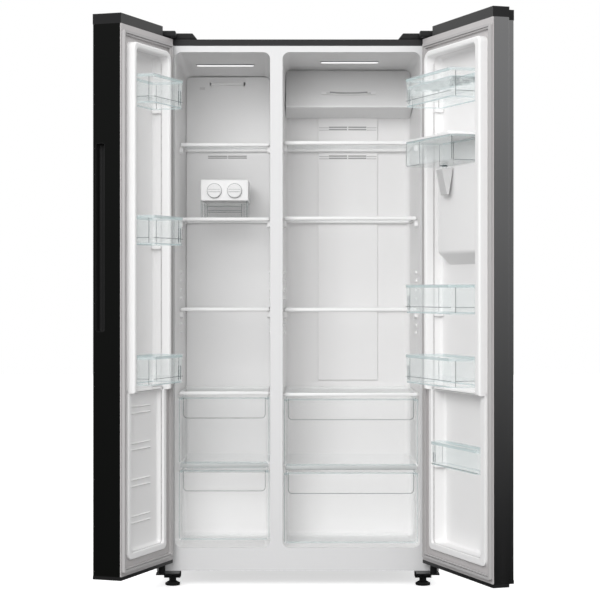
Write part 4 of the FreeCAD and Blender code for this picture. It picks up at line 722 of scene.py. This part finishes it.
def grip_border(x0, x1, z0, z1, y, depth, wall):
    """The U-shaped wall round a grip, from the front face in to its back."""
    mesh = bmesh.new()
    points = [mesh.verts.new((x, y, z)) for x, z in ((x0, z1), (x0, z0), (x1, z0), (x1, z1))]
    for first, second in zip(points, points[1:]):
        mesh.edges.new((first, second))
    bmesh.ops.bevel(mesh, geom=points[1:3], offset=0.014, offset_type="OFFSET", segments=5, profile=0.5,
                    affect="VERTICES", material=-1)
    carry_edges(mesh, (0, depth, 0))
    thicken(mesh, wall)
    return mesh


# ---------------------------------------------------------------- doors

def door_skin(side):
    """The folded outer sheet of a door."""
    low, high = closed_box(f"{side}_door_skin", side)
    width = high.x
    front, rear = low.y, high.y
    if side == "left":
        path = [(0, rear), (0, front), (width, front), (width, front + 0.006)]
        soft = 2
    else:
        step, depth = width - 0.053, front + 0.041
        path = [(0, rear), (0, front), (step, front), (step, depth), (width, depth), (width, rear)]
        soft = 4
    mesh = bmesh.new()
    points = [mesh.verts.new((u, w, low.z)) for u, w in path]
    for first, second in zip(points, points[1:]):
        mesh.edges.new((first, second))
    bmesh.ops.bevel(mesh, geom=points[1:1 + soft], offset=0.0035, offset_type="OFFSET", segments=4,
                    profile=0.5, affect="VERTICES", material=-1)
    carry_edges(mesh, (0, 0, high.z - low.z))
    middle = Vector((width / 2, (front + rear) / 2, 0))
    probe = max(mesh.faces, key=lambda face: face.calc_area())
    if probe.normal.y * (probe.calc_center_median() - middle).y < 0:
        bmesh.ops.reverse_faces(mesh, faces=mesh.faces)
    if side == "right":
        bezel_low, bezel_high = closed_box("dispenser_housing", side)
        cut_window(mesh, (bezel_low.x + BEZEL, bezel_high.x - BEZEL),
                   (bezel_low.z + BEZEL, bezel_high.z - BEZEL))
    bmesh.ops.solidify(mesh, geom=mesh.faces[:], thickness=SKIN)
    shapes = [mesh]
    if side == "left":
        insert_low, insert_high = closed_box("handle_insert", side)
        hole = rectangle((insert_low.y, insert_high.y), (insert_low.z, insert_high.z))
        strip = panel(rectangle((front + 0.0058, rear), (low.z, high.z)), (0, SKIN), (0,) * 4, [(hole, 0.008)])
        turn = Matrix(((0, -1, 0, width), (1, 0, 0, 0), (0, 0, 1, 0), (0, 0, 0, 1)))
        bmesh.ops.transform(strip, matrix=turn, verts=strip.verts)
        shapes.append(strip)
    finish = DOOR_BLACK if side == "left" else DOOR_GREY
    piece(f"{side}_door_sheet", together(*shapes), finish, f"{side}_door_skin", side)


def handle_pocket():
    """The long finger pocket in the left door's free edge."""
    low, high = closed_box("handle_insert", "left")
    mesh = brick((low.x + 0.001, low.y + 0.001, low.z + 0.001), (high.x, high.y - 0.001, high.z - 0.001))
    mouth = [face for face in mesh.faces if face.normal.x > 0.9]
    bmesh.ops.delete(mesh, geom=mouth, context="FACES")
    round_edges(mesh, [edge for edge in mesh.edges if not edge.is_boundary], 0.006, 4)
    bmesh.ops.reverse_faces(mesh, faces=mesh.faces)
    bmesh.ops.solidify(mesh, geom=mesh.faces[:], thickness=0.0009)
    piece("handle_pocket", mesh, POCKET_PLASTIC, "handle_insert", "left")


def liner_extents(side):
    """A door liner's corners and width, and the dyke's outside and inside spans."""
    low, high = closed_box(f"{side}_door_liner", side)
    width = high.x
    bar = DYKE_BAR if side == "left" else 0.033
    outer = (0.066, width - 0.039)
    inner = (outer[0] + DYKE_BAR, outer[1] - bar)
    return low, high, width, outer, inner


def door_liner(side):
    """The white inner face: flange, raised dyke with soft shoulders, and the sunk field inside it."""
    low, high, width, outer, inner = liner_extents(side)
    low_recess = LOW_RECESS[side]
    bottom, top = DYKE_BOTTOM, DYKE_TOP
    flange = panel(rectangle((0.0005, width - 0.0005), (low.z, high.z)), (-0.003, 0), (0.002,) * 4,
                   [(rectangle(inner, (bottom + DYKE_BAR, top - DYKE_BAR)), 0.012)], crest=0.0015, crest_y=0)
    arch = [(outer[0], DYKE_SPLIT), (outer[0], top), (outer[1], top), (outer[1], DYKE_SPLIT),
            (inner[1], DYKE_SPLIT), (inner[1], top - DYKE_BAR), (inner[0], top - DYKE_BAR),
            (inner[0], DYKE_SPLIT)]
    upper = panel(arch, (-0.002, 0.027), (0, 0.036, 0.020, 0, 0, 0.012, 0.020, 0), crest=0.007)
    join = DYKE_SPLIT + 0.008
    channel = [(outer[0], join), (inner[0], join), (inner[0], bottom + DYKE_BAR), (inner[1], bottom + DYKE_BAR),
               (inner[1], join), (outer[1], join), (outer[1], bottom), (outer[0], bottom)]
    lower = panel(channel, (-0.002, 0.008), (0, 0, 0.010, 0.010, 0, 0, 0.020, 0.020), crest=0.003)
    piece(f"{side}_door_flange", flange, SHADED_FLANGE_GREY, f"{side}_door_liner", side)
    shapes = [upper, lower]
    fields = (((DYKE_SPLIT, top - DYKE_BAR), DEEP_RECESS), ((bottom + DYKE_BAR, DYKE_SPLIT), low_recess))
    for height, depth in fields:
        field = brick((inner[0] - 0.0015, -depth - 0.001, height[0] - 0.0005),
                      (inner[1] + 0.0015, 0.0, height[1] + 0.0015))
        mouth = [face for face in field.faces if face.normal.y > 0.9]
        bmesh.ops.delete(field, geom=mouth, context="FACES")
        floor_edges = [edge for edge in field.edges if not edge.is_boundary]
        round_edges(field, floor_edges, 0.010, 4)
        if side == "right" and depth == DEEP_RECESS:
            cut_window(field, (BULGE[0] + 0.006, BULGE[1] - 0.006), (1.042, 1.327))
        bmesh.ops.reverse_faces(field, faces=field.faces)
        bmesh.ops.solidify(field, geom=field.faces[:], thickness=0.0015)
        shapes.append(field)
    shapes += bin_seats(side, inner)
    if side == "left":
        shapes += field_ribs(inner, low_recess)
    piece(f"{side}_door_inner_face", together(*shapes), LINER_WHITE, f"{side}_door_liner", side)


def cut_window(field, x, z):
    """Open the rearmost face of a sheet where something passes through it."""
    planes = [((across, 0, 0), (1, 0, 0)) for across in x] + [((0, 0, level), (0, 0, 1)) for level in z]
    rear = min(vert.co.y for vert in field.verts) + 0.0001
    for point, normal in planes:
        back = [face for face in field.faces if face.calc_center_median().y < rear]
        edges = {edge for face in back for edge in face.edges}
        points = {vert for face in back for vert in face.verts}
        bmesh.ops.bisect_plane(field, geom=back + list(edges) + list(points), plane_co=point, plane_no=normal)
    inside = []
    for face in field.faces:
        centre = face.calc_center_median()
        if centre.y < rear and x[0] < centre.x < x[1] and z[0] < centre.z < z[1]:
            inside.append(face)
    bmesh.ops.delete(field, geom=inside, context="FACES")


def field_ribs(inner, depth):
    """Pairs of slim stiffening ribs across the lower field."""
    shapes = []
    for level in (0.574, 0.462, 0.350, 0.238):
        for gap in (0.0, 0.020):
            rib = bar_along_x([(-depth - 0.001, level + gap - 0.003), (-depth + 0.003, level + gap),
                               (-depth - 0.001, level + gap + 0.003)], (inner[0] + 0.055, inner[1] - 0.035))
            shapes.append(rib)
    return shapes


def bin_seats(side, inner):
    """Small moulded bosses that carry the ends of the bins."""
    shapes = []
    for node in [name for name in BODY_OF if name.startswith(side) and name.endswith("_bin")]:
        base = closed_box(node, side)[0].z
        depth = LOW_RECESS[side] if node == "right_bottom_bin" else DEEP_RECESS
        for start in (inner[0], inner[1] - 0.014):
            shapes.append(brick((start, -depth, base - 0.0115), (start + 0.014, 0, base - 0.0002), 0.003))
    return shapes


def door_gasket(side):
    """A soft seal: a magnet strip on a folded bellows, mitred at the corners."""
    low, high = closed_box(f"{side}_door_gasket", side)
    width = 0.014
    outline = rectangle((low.x, high.x), (low.z, high.z))
    shapes = []
    for inset, reach, y in ((0.0, width * 0.55, (0.0035, high.y)), (0.002, width * 0.8, (0.0, 0.0045)),
                            (width * 0.62, width * 0.36, (0.001, high.y - 0.003))):
        outer = rectangle((low.x + inset, high.x - inset), (low.z + inset, high.z - inset))
        inner_x = (low.x + inset + reach, high.x - inset - reach)
        inner_z = (low.z + inset + reach, high.z - inset - reach)
        shapes.append(panel(outer, y, (0.004,) * 4, [(rectangle(inner_x, inner_z), 0.003)], crest=0.0014))
    piece(f"{side}_door_seal", together(*shapes), GASKET_GREY, f"{side}_door_gasket", side)


def door_bin(node, side):
    """A clear lift-off bin with a raised floor and a thick tinted rim."""
    low, high = closed_box(node, side)
    shallow = node == "right_bottom_bin"
    ledge = low.z + (0.003 if shallow else 0.019)
    walls = open_box(low + Vector((0.0005, 0, 0)), high - Vector((0.0005, 0.0005, 0.0)), 0.0026, 0.018, 0.0,
                     taper=0.003, floor=False)
    floor = brick((low.x + 0.005, low.y + 0.004, ledge), (high.x - 0.005, high.y - 0.005, ledge + 0.0028),
                  0.012, "z", 4)
    piece(f"{node}_walls", together(walls, floor), CLEAR_WALL, node, side)
    rim = rim_band(low, high, high.z - 0.009, high.z, 0.0042, 0.018)
    inset = Vector((0.003, 0.003, 0))
    foot = rim_band(low + inset, high - inset, low.z, low.z + 0.004, 0.003, 0.016)
    piece(f"{node}_rims", together(rim, foot), CLEAR_RIM, node, side)
    # Dark lines at the corners, along the raised floor and on two clips are painted shade.
    lines = [brick((u, w, low.z + 0.003), (u + 0.0016, w + 0.0016, high.z - 0.008), 0.0005)
             for u in (low.x + 0.0035, high.x - 0.0050) for w in (low.y + 0.012, high.y - 0.019)]
    lines.append(brick((low.x + 0.008, high.y - 0.0042, ledge),
                       (high.x - 0.008, high.y - 0.0026, ledge + 0.0014)))
    lines.append(brick((high.x - 0.0042, low.y + 0.012, ledge),
                       (high.x - 0.0028, high.y - 0.018, ledge + 0.0014)))
    clips = [brick((low.x + start, high.y - 0.0036, low.z + 0.010),
                   (low.x + start + 0.0015, high.y - 0.0016, high.z - 0.034), 0.0005)
             for start in (0.026, 0.040)]
    piece(f"{node}_edges", together(*lines, *clips), PAINTED_EDGE_SHADE, node, side)


def rim_band(low, high, bottom, top, wall, corner):
    """A band round the upright walls of a box."""
    return open_box(Vector((low.x, low.y, bottom)), Vector((high.x, high.y, top)), wall, corner, 0.0,
                    floor=False)


def egg_tray():
    """A thin plate with rows of sunk cups, each with a raised lip."""
    low, high = closed_box("egg_tray", "right")
    columns, lines = 6, 2
    mouth = 0.019
    step_u = (high.x - low.x) / columns
    step_w = (high.y - low.y) / lines
    centres = [(low.x + step_u * (column + 0.5), low.y + step_w * (line + 0.5))
               for column in range(columns) for line in range(lines)]
    cups = []
    for centre in centres:
        cup = bmesh.new()
        bmesh.ops.create_cone(cup, cap_ends=False, segments=20, radius1=0.013, radius2=mouth, depth=0.014)
        bmesh.ops.translate(cup, vec=(*centre, high.z - 0.007), verts=cup.verts)
        bmesh.ops.solidify(cup, geom=cup.faces[:], thickness=0.0012)
        cups.append(cup)
    lips = [ring((*centre, high.z - 0.0008), "z", 0.0197, 0.0183, 0.0016) for centre in centres]
    plate = bmesh.new()
    rounded_face(plate, rectangle((low.x, high.x), (low.y, high.y)), [0.010] * 4, 0)
    for u, w in centres:
        loop = bmesh.ops.create_circle(plate, cap_ends=False, segments=20, radius=mouth)
        bmesh.ops.rotate(plate, matrix=Matrix.Rotation(math.pi / 2, 3, "X"), verts=loop["verts"])
        bmesh.ops.translate(plate, vec=(u, 0, w), verts=loop["verts"])
    bmesh.ops.delete(plate, geom=plate.faces[:], context="FACES_ONLY")
    bmesh.ops.triangle_fill(plate, use_beauty=True, use_dissolve=False, edges=plate.edges[:])
    lay_flat = Matrix(((1, 0, 0, 0), (0, 0, 1, 0), (0, 1, 0, high.z - 0.001), (0, 0, 0, 1)))
    bmesh.ops.transform(plate, matrix=lay_flat, verts=plate.verts)
    carry_faces(plate, (0, 0, -0.0018))
    skirt = rim_band(low, high, low.z, high.z - 0.001, 0.002, 0.010)
    piece("egg_tray_plate", together(plate, *cups, skirt), CLEAR_WALL, "egg_tray", "right")
    rim = rim_band(low, high, high.z - 0.005, high.z, 0.003, 0.010)
    piece("egg_tray_rim", rim, CLEAR_RIM, "egg_tray", "right")
    # The dark rings on the cup lips are painted shade.
    piece("egg_tray_lips", together(*lips), PAINTED_EDGE_SHADE, "egg_tray", "right")


def water_tank():
    """A clear tub with a valve below it, its lid and the filling flap."""
    low, high = closed_box("water_tank", "right")
    bottom = low.z + 0.014
    tub = open_box(Vector((low.x, low.y, bottom)), high, 0.0028, 0.016, 0.006)
    valve = drum((SPOUT_U, 0.030, bottom - 0.006), "z", 0.0068, 0.014, 0.001, 24)
    piece("water_tank_tub", together(tub, valve), CLEAR_WALL, "water_tank", "right")
    rim = rim_band(low, high, high.z - 0.006, high.z, 0.004, 0.016)
    piece("water_tank_rim", rim, CLEAR_RIM, "water_tank", "right")
    partition = low.x + 0.110
    # Dark lines at the corners, the partition and the foot, and a dark collar round the valve, are painted shade.
    lines = [brick((u, w, bottom + 0.004), (u + 0.0016, w + 0.0016, high.z - 0.004), 0.0005)
             for u in (low.x + 0.004, high.x - 0.0056, partition) for w in (low.y + 0.010, high.y - 0.0045)]
    foot = (bottom + 0.0012, bottom + 0.0028)
    lines.append(brick((low.x + 0.012, high.y - 0.0040, foot[0]), (partition, high.y - 0.0024, foot[1])))
    lines.append(brick((high.x - 0.0040, low.y + 0.010, foot[0]), (high.x - 0.0026, high.y - 0.012, foot[1])))
    collar = ring((SPOUT_U, 0.030, bottom - 0.004), "z", 0.0095, 0.0072, 0.003)
    piece("water_tank_edges", together(*lines, collar), PAINTED_EDGE_SHADE, "water_tank", "right")
    lid_low, lid_high = closed_box("tank_lid", "right")
    flap_low, flap_high = closed_box("tank_flap", "right")
    lid = brick(lid_low, lid_high, 0.016, "z", 5)
    crest = [edge for edge in lid.edges if all(vert.co.z > lid_high.z - 1e-5 for vert in edge.verts)]
    round_edges(lid, crest, 0.002)
    piece("tank_lid_plate", lid, TRIM_WHITE, "tank_lid", "right")
    flap = brick(flap_low, flap_high, 0.006, "z", 4)
    piece("tank_flap_plate", flap, TRIM_WHITE, "tank_flap", "right")


def dispenser_bulge():
    """The white box on the right door's inner face that the outer niche pushes in, and its funnel."""
    bulge = bar_along_x([(-0.033, 1.335), (0.010, 1.335), (0.010, 1.068), (-0.033, 1.030)], BULGE)
    behind = [face for face in bulge.faces if all(vert.co.y < -0.032 for vert in face.verts)]
    bmesh.ops.delete(bulge, geom=behind, context="FACES_ONLY")
    soft = [edge for edge in bulge.edges if not all(vert.co.y < -0.032 for vert in edge.verts)]
    round_edges(bulge, soft, 0.009, 4)
    thicken(bulge, 0.0015)
    piece("dispenser_bulge", bulge, LINER_WHITE, "right_door_liner", "right")
    funnel = [(0.0108, 1.329), (0.0495, 1.323), (0.0330, 1.244), (0.0255, 1.244)]
    spout = bar_along_x(funnel, (SPOUT_U - 0.024, SPOUT_U + 0.024))
    round_edges(spout, spout.edges[:], 0.003)
    piece("dispenser_spout", spout, SPOUT_GREY, "right_door_liner", "right")
    # Dark rings round the two sockets are painted shade.
    sockets = [ring((SPOUT_U + step, 0.034, 1.3345), "z", 0.0075, 0.0058, 0.002) for step in (-0.010, 0.010)]
    piece("dispenser_sockets", together(*sockets), PAINTED_EDGE_SHADE, "right_door_liner", "right")


# ---------------------------------------------------------------- ice maker

def ice_maker():
    """The tray casing on four clear legs, with a dark ring of painted shade in the gap round each knob."""
    low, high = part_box("ice_maker_frame")
    wall = 0.003
    bottom = CASING_BOTTOM
    front_face = panel(rectangle((low.x, high.x), (bottom, high.z)), (low.y, low.y + wall), (0.006,) * 4,
                       crest=0.0015, crest_y=low.y)
    rear_face = panel(rectangle((low.x, high.x), (bottom, high.z)), (high.y - wall, high.y), (0.004,) * 4)
    sides = [brick((x, low.y + 0.001, bottom), (x + wall, high.y - 0.001, high.z), 0.001)
             for x in (low.x, high.x - wall)]
    roof = brick((low.x, low.y, high.z - wall), (high.x, high.y, high.z), 0.0012)
    piece("ice_maker_casing", together(front_face, rear_face, *sides, roof), TRIM_WHITE, "ice_maker_frame")
    legs = [brick((x, y, low.z), (x + wall, y + 0.022, bottom + 0.004), 0.001)
            for x in (low.x, high.x - wall) for y in (low.y, high.y - 0.022)]
    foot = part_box("ice_bucket")[0].x - low.x - 0.0015
    legs += [brick((x, low.y + 0.0002, low.z), (x + foot, low.y + 0.0024, bottom + 0.002), 0.0008)
             for x in (low.x, high.x - foot)]
    piece("ice_maker_legs", together(*legs), CLEAR_WALL, "ice_maker_frame")
    # Dark lines on the legs' front edges and a dark ring round each knob are painted shade.
    edges = [brick((x, low.y - 0.0002, low.z + 0.001), (x + 0.0012, low.y + 0.0012, bottom))
             for x in (low.x + 0.0002, low.x + foot - 0.0012, high.x - foot, high.x - 0.0014)]
    edges += [ring((x, low.y - 0.0001, ICE_AXIS), "y", 0.0250, 0.0237, 0.0008) for x in ice_tray_centres()]
    piece("ice_maker_edges", together(*edges), PAINTED_EDGE_SHADE, "ice_maker_frame")


def ice_tray_centres():
    """Where the axes of the two twist trays stand across the casing."""
    low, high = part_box("ice_maker_frame")
    middle = (low.x + high.x) / 2
    return middle - TRAY_PITCH / 2, middle + TRAY_PITCH / 2


def ice_tray(name, x):
    """A tray of ice cups on its shaft, turned by a round knob with a grip bar."""
    low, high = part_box(name)
    front = low.y
    axis = ICE_AXIS
    knob = drum((x, front + 0.0078, axis), "y", 0.0228, 0.0126, 0.0014, 48)
    grip = brick((x - 0.0205, front + 0.0004, axis - 0.0032), (x + 0.0205, front + 0.006, axis + 0.0032), 0.0014)
    shaft = drum((x, front + 0.018, axis), "y", 0.005, 0.018, 0.0, 20)
    tail = drum((x, high.y - 0.006, axis), "y", 0.005, 0.011, 0.0, 20)
    start, stop = front + 0.0225, high.y - 0.008
    body = open_box((x - 0.0265, start, axis - 0.0098), (x + 0.0265, stop, axis + 0.0098), 0.002, 0.004, 0.004,
                    taper=0.004)
    count = 6
    places = [start + (stop - start) * step / count for step in range(1, count)]
    walls = [brick((x - 0.025, place - 0.001, axis - 0.008), (x + 0.025, place + 0.001, axis + 0.007), 0.0006)
             for place in places]
    spine = brick((x - 0.001, start + 0.001, axis - 0.008), (x + 0.001, stop - 0.001, axis + 0.007), 0.0006)
    piece(f"{name}_cups", together(knob, grip, shaft, tail, body, *walls, spine), KNOB_WHITE, name)
    # Two dark lines along the grip bar are painted shade.
    shade = [brick((x - 0.0200, front + 0.0008, level - 0.0005), (x + 0.0200, front + 0.0022, level + 0.0005))
             for level in (axis - 0.0042, axis + 0.0042)]
    piece(f"{name}_grip_lines", together(*shade), PAINTED_EDGE_SHADE, name)


def ice_bucket():
    """The clear bucket under the ice maker, with dark lines of painted shade along the edges on its front."""
    low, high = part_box("ice_bucket")
    tub = open_box(low, high, 0.0024, 0.010, 0.005)
    piece("ice_bucket_tub", tub, DRAWER_WALL, "ice_bucket")
    rims = rim_band(low, high, high.z - 0.004, high.z, 0.003, 0.010)
    piece("ice_bucket_rims", rims, CLEAR_WALL, "ice_bucket")
    # The dark lines along the front's edges are painted shade.
    edges = [brick((x, low.y - 0.0001, low.z + 0.002), (x + 0.0012, low.y + 0.0012, high.z - 0.002))
             for x in (low.x + 0.006, low.x + 0.014, high.x - 0.0152, high.x - 0.0072)]
    edges += [brick((low.x + 0.014, low.y - 0.0001, z), (high.x - 0.014, low.y + 0.0012, z + 0.0011))
              for z in (low.z + 0.016, low.z + 0.022, high.z - 0.010)]
    piece("ice_bucket_edges", together(*edges), PAINTED_EDGE_SHADE, "ice_bucket")


# ---------------------------------------------------------------- hinges and feet

def hinge_covers():
    """Low plastic hoods over the upper hinges, sloped at their inner ends."""
    low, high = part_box("hinge_covers")
    base, top = 1.759, high.z
    for side, sign in SIDES.items():
        outer = sign * CABINET_HALF
        edge = outer - sign * 0.004
        inner = outer - sign * 0.131
        left, right = sorted((outer, outer - sign * 0.065))
        nose = brick((left, low.y, base), (right, 0.004, top), 0.004)
        hood = bmesh.new()
        profile = [(edge, base), (inner, base), (inner + sign * 0.004, base + 0.005),
                   (inner + sign * 0.016, top), (edge, top)]
        hood.faces.new([hood.verts.new((across, 0.0, height)) for across, height in profile])
        carry_faces(hood, (0, 0.110, 0))
        round_edges(hood, hood.edges[:], 0.003)
        screw = drum((outer - sign * 0.095, 0.070, top - 0.0006), "z", 0.006, 0.001, 0.0003, 20)
        piece(f"{side}_hinge_hood", together(nose, hood, screw), COVER_BLACK, "hinge_covers")


def front_foot(side):
    """A levelling foot: a ribbed pad with a rubber sole, a hexagonal collar and a threaded stem."""
    node = f"front_foot_{side}"
    low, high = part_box(node)
    x, y = (low.x + high.x) / 2, (low.y + high.y) / 2
    pad = drum((x, y, low.z + 0.0045), "z", 0.0238, 0.009, 0.0022, 48)
    cone = bmesh.new()
    bmesh.ops.create_cone(cone, cap_ends=True, segments=40, radius1=0.0215, radius2=0.013, depth=0.005)
    bmesh.ops.translate(cone, vec=(x, y, 0.0115), verts=cone.verts)
    collar = drum((x, y, 0.0205), "z", 0.0128, 0.0128, 0.0012, 6)
    stem = drum((x, y, 0.0375), "z", 0.0048, 0.021, 0.0008, 24)
    grooves = [ring((x, y, 0.0285 + 0.0017 * step), "z", 0.00495, 0.0044, 0.0008, 24) for step in range(9)]
    ribs = []
    for step in range(16):
        rib = brick((0.0228, -0.0011, 0.0015), (0.0240, 0.0011, 0.0078), 0.0004)
        bmesh.ops.rotate(rib, matrix=Matrix.Rotation(step * math.pi / 8, 3, "Z"), verts=rib.verts)
        bmesh.ops.translate(rib, vec=(x, y, 0), verts=rib.verts)
        ribs.append(rib)
    piece(f"{node}_pad", together(pad, cone, collar, stem, *grooves, *ribs), FOOT_RUBBER, node)


def door_foam_cores():
    """The insulation inside each door, kept behind its liner."""
    for side in SIDES:
        low, high = closed_box(f"{side}_door_foam", side)
        bottom, top = low.z + 0.004, high.z - 0.004
        spans = [(bottom, top)] if side == "left" else [(bottom, 1.060), (1.335, top)]
        blocks = [brick((0.003, -0.091, start), (high.x - 0.056, -0.046, stop), 0.004) for start, stop in spans]
        piece(f"{side}_door_core", together(*blocks), FOAM, f"{side}_door_foam", side)


# ---------------------------------------------------------------- stage

def sky_of_the_studio(tree):
    """White behind the object, a darker lower half for bounced light and a soft gradient for reflections."""
    link = tree.links.new
    background = tree.nodes["Background"]
    place = add(tree, "ShaderNodeTexCoord")
    split = add(tree, "ShaderNodeSeparateXYZ")
    link(place.outputs["Generated"], split.inputs["Vector"])
    path = add(tree, "ShaderNodeLightPath")
    soft = add(tree, "ShaderNodeMapRange", in_From_Min=-0.40, in_From_Max=0.25, in_To_Min=0.22, in_To_Max=0.90)
    shine = add(tree, "ShaderNodeMapRange", in_From_Min=-0.12, in_From_Max=0.18, in_To_Min=0.0, in_To_Max=1.30)
    link(split.outputs["Z"], soft.inputs["Value"])
    link(split.outputs["Z"], shine.inputs["Value"])
    bounced = add(tree, "ShaderNodeMix", data_type="FLOAT")
    seen = add(tree, "ShaderNodeMix", data_type="FLOAT")
    link(path.outputs["Is Glossy Ray"], bounced.inputs[0])
    link(soft.outputs["Result"], bounced.inputs[2])
    link(shine.outputs["Result"], bounced.inputs[3])
    link(path.outputs["Is Camera Ray"], seen.inputs[0])
    link(bounced.outputs[0], seen.inputs[2])
    seen.inputs[3].default_value = 1.0
    background.inputs["Color"].default_value = (1, 1, 1, 1)
    link(seen.outputs[0], background.inputs["Strength"])


def stage_setting():
    scene = bpy.context.scene
    floor_mesh = bmesh.new()
    bmesh.ops.create_grid(floor_mesh, x_segments=1, y_segments=1, size=14)
    data = bpy.data.meshes.new("floor")
    floor_mesh.to_mesh(data)
    floor_mesh.free()
    paper = solid_finish("pale_floor", (0.93, 0.93, 0.93), 0.8, grain=200, bump=0.0, drift=0.004, glow=0.62,
                         gloss=0.1)
    data.materials.append(paper)
    floor = bpy.data.objects.new("floor", data)
    scene.collection.objects.link(floor)
    floor.visible_glossy = False
    floor.visible_diffuse = False

    world = bpy.data.worlds.new("studio_white")
    world.use_nodes = True
    sky_of_the_studio(world.node_tree)
    scene.world = world
    scene.view_settings.view_transform = "Standard"

    for name, place, aim, size, power in (
        ("front_softbox", (-1.0, -4.2, 2.7), (0.0, 0.3, 0.8), 2.2, 104.0),
        ("low_fill", (-0.4, -4.0, 0.7), (0.0, 0.3, 0.6), 1.6, 16.0),
    ):
        lamp = bpy.data.lights.new(name, "AREA")
        lamp.size = size
        lamp.energy = power
        item = bpy.data.objects.new(name, lamp)
        item.location = place
        item.visible_glossy = False
        item.rotation_euler = (Vector(aim) - Vector(place)).to_track_quat("-Z", "Y").to_euler()
        scene.collection.objects.link(item)

    lens = bpy.data.cameras.new("camera")
    lens.lens = 108.02
    lens.sensor_width = 36.0
    lens.shift_y = -0.0208
    lens.clip_end = 60.0
    camera = bpy.data.objects.new("camera", lens)
    camera.location = (0.00725, -5.79569, 0.96033)
    camera.rotation_euler = (math.pi / 2, 0, 0)
    scene.collection.objects.link(camera)
    scene.camera = camera


def give_carried_over_finishes():
    for node, material in CARRIED_OVER.items():
        data = frame["nodes"][node].data
        data.materials.clear()
        data.materials.append(material)


give_carried_over_finishes()
front_frame()
for side in ("freezer", "fridge"):
    liner_shell(side)
    shelf_ledges(side)
    rail_slots(side)
    shelf_parts(side)
    for level in ("upper", "lower"):
        drawer(f"{side}_{level}_drawer")
freezer_air_cover()
fridge_air_housing()
ceiling_lamps()
for side in SIDES:
    door_skin(side)
    door_liner(side)
    door_gasket(side)
for node in [name for name in BODY_OF if name.endswith("_bin")]:
    door_bin(node, node.split("_")[0])
handle_pocket()
egg_tray()
water_tank()
dispenser_bulge()
ice_maker()
for name, centre in zip(("ice_tray_left", "ice_tray_right"), ice_tray_centres()):
    ice_tray(name, centre)
ice_bucket()
hinge_covers()
for side in SIDES:
    front_foot(side)
door_foam_cores()
stage_setting()
